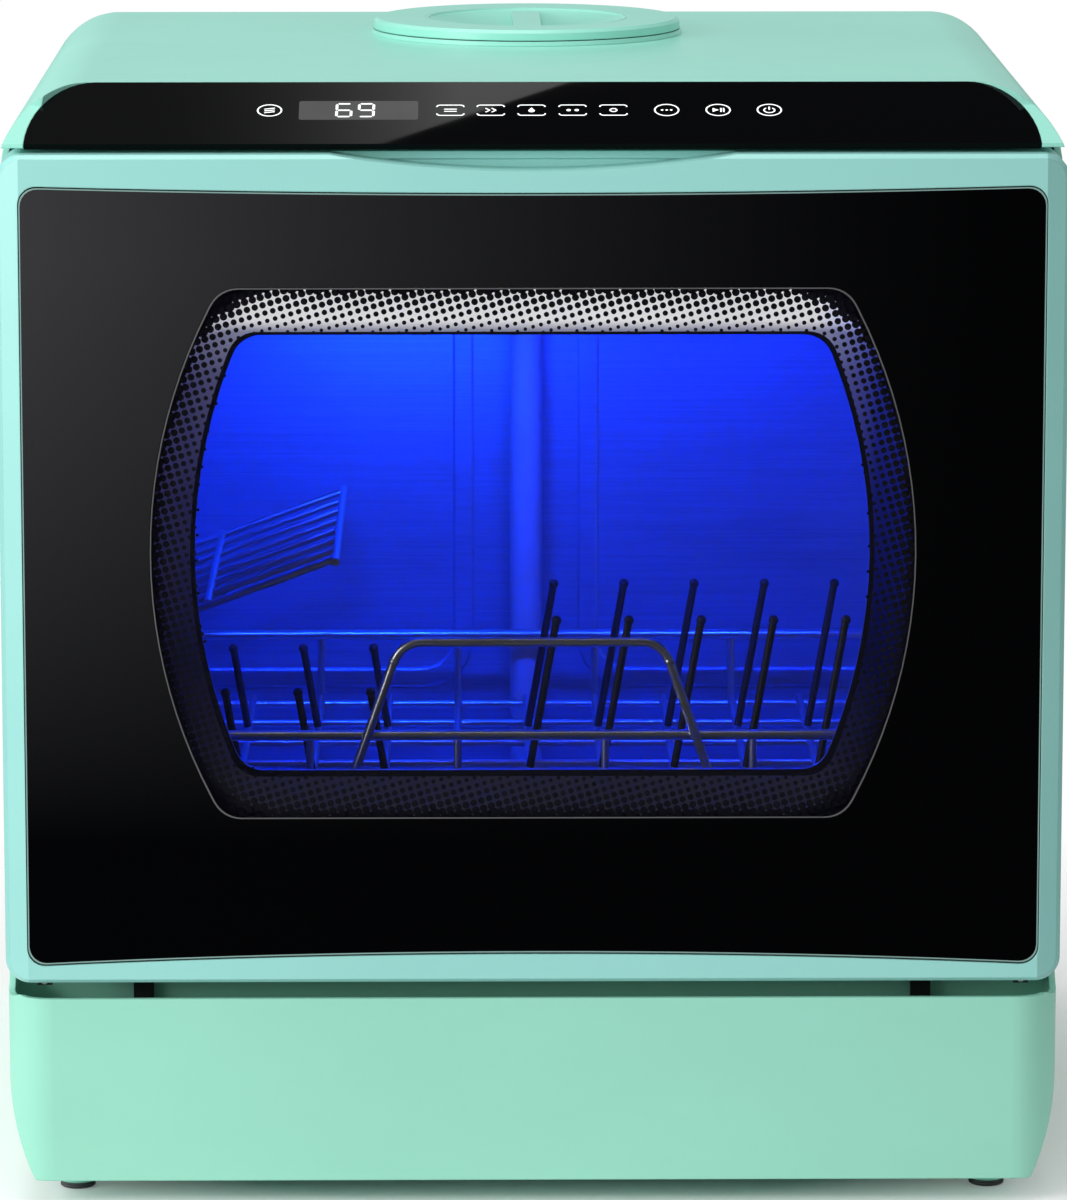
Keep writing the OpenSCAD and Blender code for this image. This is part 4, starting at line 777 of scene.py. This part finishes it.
def upright(y, z=0.0, x=0.0):
    """Places a plate's own X and Y on the frame's X and Z, facing the front."""
    return Matrix.Translation((x, y, z)) @ Matrix.Rotation(math.radians(90), 4, "X")


def on_panel(x=0.0, up=0.0, out=0.0):
    """Places a plate on the sloping panel."""
    p = bpy.context.scene.dish_print
    tilt = math.atan2(p.rise, p.run)
    corner = Matrix.Translation((0.0, PANEL_LOW.y, PANEL_HIGH.z - p.rise))
    return corner @ Matrix.Rotation(tilt, 4, "X") @ Matrix.Translation((x, up, out))


# ---- Operators ----


class PieceOperator(Operator):
    """Shared options of the building steps"""

    bl_options = {"REGISTER", "UNDO"}

    def execute(self, context):
        self.build(context.scene)
        return {"FINISHED"}


class DISH_OT_finishes(PieceOperator):
    """Make the materials and give every CAD node its own"""

    bl_idname = "dish.finishes"
    bl_label = "Finishes"

    def build(self, scene):
        made = make_finishes()
        for finish, names in NODE_FINISHES.items():
            for name in names:
                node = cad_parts[name]
                node.data.materials.clear()
                node.data.materials.append(made[finish])
        left = set(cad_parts) - {n for names in NODE_FINISHES.values() for n in names}
        if left:
            raise RuntimeError(f"nodes with no finish: {sorted(left)}")


class DISH_OT_door_glass(PieceOperator):
    """Black door glass with its clear window"""

    bl_idname = "dish.door_glass"
    bl_label = "Door glass"

    line = 0.0005
    film = 0.00006
    lift = 0.00004

    def build(self, scene):
        g = scene.dish_glass
        line = self.line
        thick = GLASS_HIGH.y - GLASS_LOW.y
        middle = (GLASS_HIGH.y + GLASS_LOW.y) / 2
        window_z = (TRIM_LOW.z + TRIM_HIGH.z) / 2
        hole = barrel(g.window_mid, g.window_end, g.window_height, g.window_corner)
        cut = [(x, y + window_z) for x, y in hole]
        black = plate("door_glass_black", [glass_edge(0.0), cut], thick, 0.0004, upright(middle))
        finished(black, "door_black_glass", "door")
        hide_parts("door_glass")
        clear = plate("door_glass_window", [cut], thick - 0.0006, 0.0002, upright(middle))
        finished(clear, "door_clear_glass", "door")
        inner = barrel(g.window_mid - line, g.window_end - line, g.window_height - 2 * line, g.window_corner)
        inside = [(x, y + window_z) for x, y in inner]
        front = upright(GLASS_LOW.y - self.lift)
        ring = plate("window_line", [cut, inside], self.film, 0.0, front)
        finished(ring, "line_silver", "door")
        # a thin pale ring along the glass's outline: a painted highlight of the glass's polished bevel
        edge = plate("painted_bevel_highlight", [glass_edge(0.0), glass_edge(line)], self.film, 0.0, front)
        finished(edge, "painted_highlight_line", "door")


class DISH_OT_dots(PieceOperator):
    """Printed dots round the window, large at its edge and small inside"""

    bl_idname = "dish.dots"
    bl_label = "Dotted border"

    inner = 0.026
    solid_share = 0.07

    def build(self, scene):
        g = scene.dish_glass
        window_z = (TRIM_LOW.z + TRIM_HIGH.z) / 2
        big = side_radius(g.window_mid, g.window_end, g.window_height)
        work = bmesh.new()
        reach = int(0.2 / g.dot_pitch)
        turn = Matrix.Rotation(g.dot_tilt, 2)
        y = GLASS_HIGH.y + 0.00003
        for i in range(-reach, reach + 1):
            for j in range(-reach, reach + 1):
                x, z = turn @ Vector((i * g.dot_pitch, j * g.dot_pitch))
                side = g.window_mid - big + math.sqrt(max(big * big - z * z, 0.0)) - abs(x)
                level = g.window_height / 2 - abs(z)
                if min(side, level) < -g.dot_pitch * 0.6:
                    continue
                deep = min(side, level)
                if max(side, level) < self.inner:
                    deep = self.inner - math.hypot(self.inner - side, self.inner - level)
                share = max(deep, 0.0) / g.dot_band
                if share > 1.0:
                    continue
                radius = g.dot_pitch * (0.72 if share < self.solid_share else 0.53 - 0.33 * share)
                radius = max(radius, g.smallest_dot)
                rim = [work.verts.new((x + u, y, window_z + z + v)) for u, v in arc(0, 0, radius, 0, 330, 11)]
                work.faces.new(rim)
        dots = from_bmesh("window_dots", work)
        finished(dots, "dot_ink", "door")


class DISH_OT_symbols(PieceOperator):
    """Printed symbols of the touch panel"""

    bl_idname = "dish.symbols"
    bl_label = "Panel symbols"

    thickness = 0.00008
    ovals = (-0.1036, 0.0530, 0.0733, 0.0935)
    brackets = (-0.0323, -0.0164, -0.0003, 0.0159, 0.0320)
    bracket_up = 0.0046
    bend = 0.0016

    def lay(self, name, outlines, x, up=0.0):
        p = bpy.context.scene.dish_print
        place = on_panel(x, p.row + up, self.thickness / 2 + 0.00002)
        return plate(name, outlines, self.thickness, 0.0, place)

    def ring(self, x, radius, line):
        return self.lay("ring", [arc(0, 0, radius, 0, 352.5, 47), arc(0, 0, radius - line, 0, 352.5, 47)], x)

    def bar(self, x, up, length, line, angle=0.0):
        c, s = math.cos(math.radians(angle)), math.sin(math.radians(angle))
        half, thin = length / 2, line / 2
        square = [(-half, -thin), (half, -thin), (half, thin), (-half, thin)]
        return self.lay("bar", [[(a * c - b * s, a * s + b * c) for a, b in square]], x, up)

    def bow(self, x, width, height, line, flip):
        """A bracket's line: level, with its two ends curving in."""
        r = self.bend

        def edge(inset):
            half, level, radius, tip = width / 2, height - r, r - inset, height - r * 1.15
            right, left = arc(half - r, level, radius, 0, 90, 5), arc(-half + r, level, radius, 90, 180, 5)
            return [(half - inset, tip), *right, *left, (-half + inset, tip)]

        points = [(a, b * flip) for a, b in edge(0.0) + edge(line)[::-1]]
        return self.lay("bow", [points], x)

    def glyph(self, index, x, line):
        """A plain sign in the middle of a symbol."""
        small = 0.0009
        if index == 0:
            return [self.bar(x, up, 0.0050, line) for up in (-small, small)]
        if index == 1:
            return [self.bar(x + dx, up, 0.0024, line, a) for dx in (-0.0012, 0.0012)
                    for up, a in ((0.0008, -45), (-0.0008, 45))]
        if index == 2:
            return [self.lay("drop", [[(0.0, 0.0021), *arc(0, -0.0004, 0.0013, 20, -200, 12)]], x)]
        if index == 3:
            return [self.lay("dot", [arc(dx, 0, 0.0009, 0, 330, 11)], x) for dx in (-0.0016, 0.0016)]
        if index == 4:
            return [self.lay("dot", [arc(0, 0, 0.0016, 0, 345, 23), arc(0, 0, 0.0016 - line, 0, 345, 23)], x)]
        if index == 5:
            return [self.bar(x, up, 0.0042, line, 12) for up in (-0.0015, 0.0, 0.0015)]
        if index == 6:
            return [self.lay("dot", [arc(dx, 0, 0.00055, 0, 330, 11)], x) for dx in (-0.0018, 0.0, 0.0018)]
        if index == 7:
            play = [(-0.0022, -0.0016), (0.0003, 0.0), (-0.0022, 0.0016)]
            pause = [self.bar(x + dx, 0, 0.0032, line, 90) for dx in (0.0011, 0.0022)]
            return [self.lay("play", [play], x), *pause]
        outer = arc(0, 0, 0.0024, 125, 415, 24)
        inner = list(reversed(arc(0, 0, 0.0024 - line, 125, 415, 24)))
        return [self.lay("arc", [outer + inner], x, -0.0002), self.bar(x, 0.0014, 0.0026, line, 90)]

    def build(self, scene):
        p = scene.dish_print
        pieces = []
        for i, x in enumerate(self.ovals):
            pieces.append(self.ring(x, p.oval / 2, p.line))
            pieces += self.glyph(5 + i, x, p.line)
        for i, x in enumerate(self.brackets):
            pieces += [self.bow(x, p.bracket, self.bracket_up, p.line, flip) for flip in (1, -1)]
            pieces += self.glyph(i, x, p.line)
        symbols = joined("panel_symbols", pieces)
        finished(symbols, "symbol_ink", "cabinet")


class DISH_OT_display(PieceOperator):
    """Grey display window with two lit digits"""

    bl_idname = "dish.display"
    bl_label = "Display"

    segments = {
        "a": ((0, 2), (1, 2)),
        "b": ((1, 2), (1, 1)),
        "c": ((1, 1), (1, 0)),
        "d": ((1, 0), (0, 0)),
        "e": ((0, 0), (0, 1)),
        "f": ((0, 1), (0, 2)),
        "g": ((0, 1), (1, 1)),
    }
    digits = {"6": "afgedc", "9": "abcdfg"}
    half_tall = 0.0078
    digits_left = 0.0086
    digit_step = 0.0088
    lean = 0.02
    stroke_width = 0.00108
    stroke_gap = 0.0003

    def stroke(self, start, stop, width, gap):
        """A lit segment with pointed ends."""
        a, b = Vector(start), Vector(stop)
        way = (b - a).normalized()
        side = Vector((-way.y, way.x)) * width / 2
        a, b = a + way * gap, b - way * gap
        tip = way * width / 2
        return [tuple(v) for v in (a, a + tip - side, b - tip - side, b, b - tip + side, a + tip + side)]

    def build(self, scene):
        p = scene.dish_print
        module_low, module_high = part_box("display_module")
        middle = (module_low.x + module_high.x) / 2
        half = (module_high.x - module_low.x) / 2
        window = rectangle(half, self.half_tall, 0.0011)
        lens = plate("display_window", [window], 0.00006, 0.0, on_panel(middle, p.row, 0.00005))
        finished(lens, "display_lens", "cabinet")
        pieces = []
        for place, digit in enumerate("69"):
            left = middle - self.digits_left + place * self.digit_step
            for key in self.digits[digit]:
                ends = []
                for u, v in self.segments[key]:
                    up = (v - 1) * p.digit_height / 2
                    ends.append((left + u * p.digit_width + up * self.lean, up))
                outline = self.stroke(*ends, self.stroke_width, self.stroke_gap)
                pieces.append(plate("segment", [outline], 0.00006, 0.0, on_panel(0.0, p.row, 0.00013)))
        lit = joined("display_digits", pieces)
        finished(lit, "digit_light", "cabinet")


class DISH_OT_tub_pressings(PieceOperator):
    """Pressed ribs and a rear panel in the tub's sheet"""

    bl_idname = "dish.tub_pressings"
    bl_label = "Tub pressings"

    wall = 0.002
    sunk = 0.0002
    margin = 0.05
    thick, bevel = 0.0026, 0.0012
    # half width, half height and corner of each outline
    rib = (0.105, 0.0035, 0.0034)
    frame_outside = (0.075, 0.115, 0.022)
    frame_inside = (0.066, 0.106, 0.014)
    rib_y = -0.012
    frame_x, frame_z = 0.098, 0.265

    def build(self, scene):
        count = scene.dish_trim.tub_ribs
        inner = TUB_HIGH.x - self.wall - self.sunk
        back = TUB_HIGH.y - self.wall - self.sunk
        pieces = []
        low, high = TUB_LOW.z + self.margin, TUB_HIGH.z - self.margin
        turn = Matrix.Rotation(math.radians(90), 4, "Z") @ Matrix.Rotation(math.radians(90), 4, "X")
        for side in (-1, 1):
            for i in range(count):
                z = low + (high - low) * i / (count - 1)
                place = Matrix.Translation((side * inner, self.rib_y, z)) @ turn
                pieces.append(plate("rib", [rectangle(*self.rib)], self.thick, self.bevel, place))
        outlines = [rectangle(*self.frame_outside), rectangle(*self.frame_inside)]
        for x in (-self.frame_x, self.frame_x):
            pieces.append(plate("frame", outlines, self.thick, self.bevel, upright(back, self.frame_z, x)))
        finished(joined("tub_pressings", pieces), "tub_sheet", "cabinet")


class DISH_OT_wire_ends(PieceOperator):
    """Rounded caps on the rack's tines"""

    bl_idname = "dish.wire_ends"
    bl_label = "Wire ends"

    radius = 0.0021
    tip = 0.002
    short_tips = (0.026, 0.034)
    apart = 0.006

    def build(self, scene):
        work = bmesh.new()
        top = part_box("rack_tines")[1].z
        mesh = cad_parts["rack_tines"].data
        found = []
        for vertex in mesh.vertices:
            at = vertex.co
            if at.z < top - self.short_tips[1] or top - self.short_tips[0] < at.z < top - self.tip:
                continue
            if all((at - first).length > self.apart for first, _ in found):
                found.append((at.copy(), []))
            for first, group in found:
                if (at - first).length <= self.apart:
                    group.append(at.copy())
        for _, group in found:
            middle = sum(group, Vector()) / len(group)
            ball = bmesh.ops.create_uvsphere(work, u_segments=14, v_segments=8, radius=self.radius)
            bmesh.ops.translate(work, verts=ball["verts"], vec=middle)
        caps = from_bmesh("tine_caps", work)
        finished(caps, "nylon_coat", "rack", 60.0)


class DISH_OT_feet(PieceOperator):
    """Grooved rubber pads in short moulded cups, and two bosses under the base's front"""

    bl_idname = "dish.feet"
    bl_label = "Feet"

    radius = 0.0075
    pad_top = 0.0026
    cup_top = 0.0058
    stem = 0.0029
    boss_x = 0.163

    def build(self, scene):
        low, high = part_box("rubber_feet")
        grooves = scene.dish_trim.foot_grooves
        r = self.radius
        pad = [(r - 0.0016, 0.0), (r - 0.0008, 0.0003)]
        for i in range(grooves):
            z = 0.0006 + i * (self.pad_top - 0.0008) / grooves
            pad += [(r - 0.0004, z), (r - 0.0009, z + 0.0002)]
            pad += [(r - 0.0009, z + 0.0004), (r - 0.0004, z + 0.0006)]
        pad += [(r - 0.0008, self.pad_top)]
        cup = [(r - 0.0005, self.pad_top), (r, self.pad_top + 0.0005), (r, self.cup_top)]
        cup += [(self.stem, self.cup_top + 0.0001), (self.stem, high.z)]
        places = [(x, y, 0.0) for x in (low.x + r, high.x - r) for y in (low.y + r, high.y - r)]
        pads = joined("foot_pads", [turned("foot", pad, place) for place in places])
        finished(pads, "foot_rubber", "cabinet")
        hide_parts("rubber_feet")
        cups = joined("foot_cups", [turned("cup", cup, place) for place in places])
        finished(cups, "mint_rear", "cabinet")
        boss = [(0.0092, 0.0036), (0.0102, 0.0040), (0.0105, 0.0046), (0.0105, self.cup_top + 0.0003)]
        bosses = [turned("boss", boss, (x, low.y + 0.010, 0.0)) for x in (-self.boss_x, self.boss_x)]
        finished(joined("foot_bosses", bosses), "mint_base", "cabinet")


class DISH_OT_threads(PieceOperator):
    """Thread on the water inlet and barbs on the drain spigot"""

    bl_idname = "dish.threads"
    bl_label = "Threads and barbs"

    port_x, port_z = 0.120, 0.042
    root, crest, pitch = 0.0131, 0.0137, 0.0018
    barb_step = 0.0058

    def build(self, scene):
        turns = scene.dish_trim.thread_turns
        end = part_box("inlet_valve")[1].y
        z, root = self.port_z, self.root
        section = [(root, -0.0008), (self.crest, -0.0002), (self.crest, 0.0002), (root, 0.0008)]
        work = bmesh.new()
        steps = 48 * turns
        rings = []
        for i in range(steps + 1):
            a = 2 * math.pi * i / 48
            fade = min(i, steps - i, 12) / 12
            y = end - 0.0022 - self.pitch * turns * i / steps
            ring = []
            for radius, along in section:
                r = root + (radius - root) * fade
                ring.append(work.verts.new((self.port_x + r * math.cos(a), y + along, z + r * math.sin(a))))
            rings.append(ring)
        for one, two in zip(rings, rings[1:]):
            for k in range(3):
                work.faces.new((one[k], one[k + 1], two[k + 1], two[k]))
            work.faces.new((one[3], one[0], two[0], two[3]))
        work.faces.new(rings[0])
        work.faces.new(list(reversed(rings[-1])))
        finished(from_bmesh("inlet_thread", work), "valve_plastic", "cabinet")
        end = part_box("drain_connector")[1].y - 0.0018
        profile = [(0.0088, -0.0042), (0.0101, -0.0036), (0.0100, -0.0030), (0.0088, 0.0)]
        barbs = [turned("barb", profile, (-self.port_x, end - i * self.barb_step, z), "Y") for i in range(3)]
        finished(opened(joined("drain_barbs", barbs)), "sump_plastic", "cabinet")


class DISH_OT_gasket(PieceOperator):
    """Ribbed door seal round the tub's mouth"""

    bl_idname = "dish.gasket"
    bl_label = "Door seal"

    wide = 0.007
    # one half of the section, as shares of its width and depth
    ribs = ((0.5, 1.0), (0.5, 0.45), (0.34, 0.12), (0.18, 0.0), (0.05, 0.14))

    def build(self, scene):
        low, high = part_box("door_gasket")
        half = self.wide / 2
        left, right, floor, roof = low.x + half, high.x - half, low.z + half, high.z - half
        path = rounded([(left, floor), (right, floor), (right, roof), (left, roof)], 0.0165, 10)
        deep = high.y - low.y
        section = [(-self.wide * a, deep * b) for a, b in self.ribs]
        section += [(self.wide * a, deep * b) for a, b in reversed(self.ribs)]
        seal = swept("ribbed_seal", [(x, low.y, z) for x, z in path], section)
        finished(seal, "gasket_rubber", "cabinet", 50.0)
        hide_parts("door_gasket")


class DISH_OT_lid_trim(PieceOperator):
    """Raised bead round the dish of the fill lid"""

    bl_idname = "dish.lid_trim"
    bl_label = "Lid trim"

    def build(self, scene):
        low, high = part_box("fill_lid")
        middle = (low + high) / 2
        inside = scene.dish_trim.lid_bead
        profile = [
            (inside, high.z - 0.0010),
            (inside + 0.0004, high.z - 0.0001),
            (inside + 0.0014, high.z - 0.0001),
            (inside + 0.0018, high.z - 0.0010),
        ]
        bead = opened(turned("lid_bead", profile, (middle.x, middle.y, 0.0), steps=96))
        finished(bead, "mint_body", "lid")


class DISH_OT_bumper_screws(PieceOperator):
    """Screw heads on the door's bumpers"""

    bl_idname = "dish.bumper_screws"
    bl_label = "Bumper screws"

    def build(self, scene):
        low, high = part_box("door_bumpers")
        heads = []
        for x in (low.x + 0.003, high.x - 0.003):
            profile = [(0.0011, 0.0), (0.0011, -0.0002), (0.0008, -0.0005), (0.0004, -0.0006)]
            heads.append(turned("head", profile, (x, low.y, (low.z + high.z) / 2), "Y", 20))
        finished(joined("bumper_screws", heads), "screw_steel", "door")


class DISH_OT_stage(PieceOperator):
    """Floor, surroundings, lamps and camera"""

    bl_idname = "dish.stage"
    bl_label = "Stage"

    slant = ((-2.4, 1.24, 1.8), (0.615, 1.24, 1.8), (-0.558, 1.24, 2.4), (-2.4, 1.24, 2.4))
    behind = ((-2.0, 3.0, 0.3), (2.0, 3.0, 0.3), (2.0, 3.0, 1.2), (-2.0, 3.0, 1.2))

    def lamp(self, name, place, aim, power, wide, tall, rgb=(1.0, 1.0, 1.0), spread=180.0):
        data = bpy.data.lights.new(name, "AREA")
        data.shape = "RECTANGLE"
        data.size, data.size_y = wide, tall
        data.energy = power
        data.color = rgb
        data.spread = math.radians(spread)
        lamp = linked(name, data)
        lamp.location = place
        lamp.rotation_euler = (Vector(aim) - Vector(place)).to_track_quat("-Z", "Y").to_euler()

    def floor(self):
        """Pale floor that fades into the white surroundings away from the machine."""
        work = bmesh.new()
        corners = [work.verts.new(c) for c in ((-3, -3, 0), (3, -3, 0), (3, 3, 0), (-3, 3, 0))]
        work.faces.new(corners)
        floor = from_bmesh("floor", work)
        f = Finish("pale_floor", roughness=0.8, specular_ior_level=0.05)
        f.tint(f.noise(3.0, 2.0), (0.90, 0.90, 0.90), (0.92, 0.92, 0.92))
        away = f.node("ShaderNodeVectorMath", {"operation": "LENGTH"}, {0: f.place}, "Value")
        f.put("Alpha", 1.0 - f.span(away, 0.20, 0.60))
        floor.data.materials.append(f.material)

    def card(self, name, corners, strength, rgb=None):
        """A glowing card that shows only in reflections; without a colour it brightens to the right."""
        work = bmesh.new()
        work.faces.new([work.verts.new(c) for c in corners])
        card = from_bmesh(name, work)
        f = Finish(name + "_glow", base_color=(0.0, 0.0, 0.0), emission_strength=strength)
        near = f.span(f.axis("X"), -0.30, -0.03)
        f.put("Emission Color", rgb or f.blend(near * near * near, (0.08, 0.08, 0.08), (1.0, 1.0, 1.0)))
        card.data.materials.append(f.material)
        card.visible_camera = card.visible_diffuse = card.visible_shadow = card.visible_transmission = False

    def surroundings(self, s):
        """White where the camera sees them, pale for soft light and dim in reflections."""
        world = bpy.data.worlds.new("studio")
        bpy.context.scene.world = world
        world.use_nodes = True
        tree = world.node_tree
        tree.nodes.clear()
        path = tree.nodes.new("ShaderNodeLightPath")
        out = tree.nodes.new("ShaderNodeOutputWorld")
        lit = None
        for ray, strength in (("", s.world), ("Is Glossy Ray", s.mirror), ("Is Camera Ray", 1.0)):
            made = tree.nodes.new("ShaderNodeBackground")
            made.inputs["Strength"].default_value = strength
            made.inputs["Color"].default_value = (1.0, 1.0, 1.0, 1.0)
            if lit:
                mix = tree.nodes.new("ShaderNodeMixShader")
                tree.links.new(path.outputs[ray], mix.inputs[0])
                tree.links.new(lit.outputs[0], mix.inputs[1])
                tree.links.new(made.outputs[0], mix.inputs[2])
                made = mix
            lit = made
        tree.links.new(lit.outputs[0], out.inputs[0])

    def camera(self, s):
        data = bpy.data.cameras.new("camera")
        camera = linked("camera", data)
        camera.location = (s.side, GLASS_LOW.y - s.distance, s.height)
        aim = Vector((s.aim_side, GLASS_LOW.y, s.aim_height))
        camera.rotation_euler = (aim - camera.location).to_track_quat("-Z", "Y").to_euler()
        data.sensor_fit = "VERTICAL"
        data.sensor_height = 36.0
        data.lens = s.lens
        data.clip_end = 50.0
        bpy.context.scene.camera = camera

    def build(self, scene):
        s = scene.dish_stage
        scene.view_settings.view_transform = "Standard"
        self.floor()
        self.surroundings(s)
        self.card("panel_card", self.slant, 2.3)
        self.card("low_card", self.behind, 0.64, (0.75, 1.0, 0.95))
        self.lamp("key", (-1.25, -0.95, 0.65), (0, -0.1, 0.2), s.key, 0.8, 0.8)
        self.lamp("fill", (1.7, -1.5, 0.9), (0, 0, 0.2), s.fill, 1.4, 1.4)
        self.lamp("overhead", (-0.2, -0.1, 2.0), (0, 0, 0.3), s.top, 1.6, 1.0)
        blue = (0.004, 0.030, 1.0)
        roof = TUB_HIGH.z - 0.014
        strip = (0.07, 0.016, blue, 120.0)
        self.lamp("glow_left", (-0.09, -0.11, roof), (-0.05, 0.15, 0.30), s.glow, *strip)
        self.lamp("glow_right", (0.09, -0.11, roof), (0.03, 0.15, 0.28), s.glow * 0.7, *strip)
        square = (0.10, 0.10, (0.01, 0.12, 1.0))
        self.lamp("glow_rear", (-0.05, 0.0, 0.33), (-0.05, 0.12, 0.30), s.glow * 0.12, *square)
        self.camera(s)


STEPS = [
    DISH_OT_finishes,
    DISH_OT_door_glass,
    DISH_OT_dots,
    DISH_OT_symbols,
    DISH_OT_display,
    DISH_OT_tub_pressings,
    DISH_OT_wire_ends,
    DISH_OT_feet,
    DISH_OT_threads,
    DISH_OT_gasket,
    DISH_OT_lid_trim,
    DISH_OT_bumper_screws,
    DISH_OT_stage,
]


class DISH_PT_panel(Panel):
    """The dishwasher's building steps and sizes"""

    bl_label = "Dishwasher"
    bl_idname = "DISH_PT_panel"
    bl_space_type = "VIEW_3D"
    bl_region_type = "UI"
    bl_category = "Dishwasher"

    def draw(self, context):
        for step in STEPS:
            self.layout.operator(step.bl_idname)
        for name, group in GROUPS.items():
            box = self.layout.box()
            box.label(text=group.__doc__)
            for key in group.__annotations__:
                box.prop(getattr(context.scene, name), key)


def register():
    for group in GROUPS.values():
        bpy.utils.register_class(group)
    for name, group in GROUPS.items():
        setattr(bpy.types.Scene, name, PointerProperty(type=group))
    for step in STEPS:
        bpy.utils.register_class(step)
    bpy.utils.register_class(DISH_PT_panel)


def unregister():
    bpy.utils.unregister_class(DISH_PT_panel)
    for step in reversed(STEPS):
        bpy.utils.unregister_class(step)
    for name, group in GROUPS.items():
        delattr(bpy.types.Scene, name)
        bpy.utils.unregister_class(group)


def main():
    """Builds the looks in order."""
    register()
    for step in STEPS:
        area, name = step.bl_idname.split(".")
        getattr(getattr(bpy.ops, area), name)()
    bpy.context.view_layer.update()


if __name__ == "__main__":
    main()
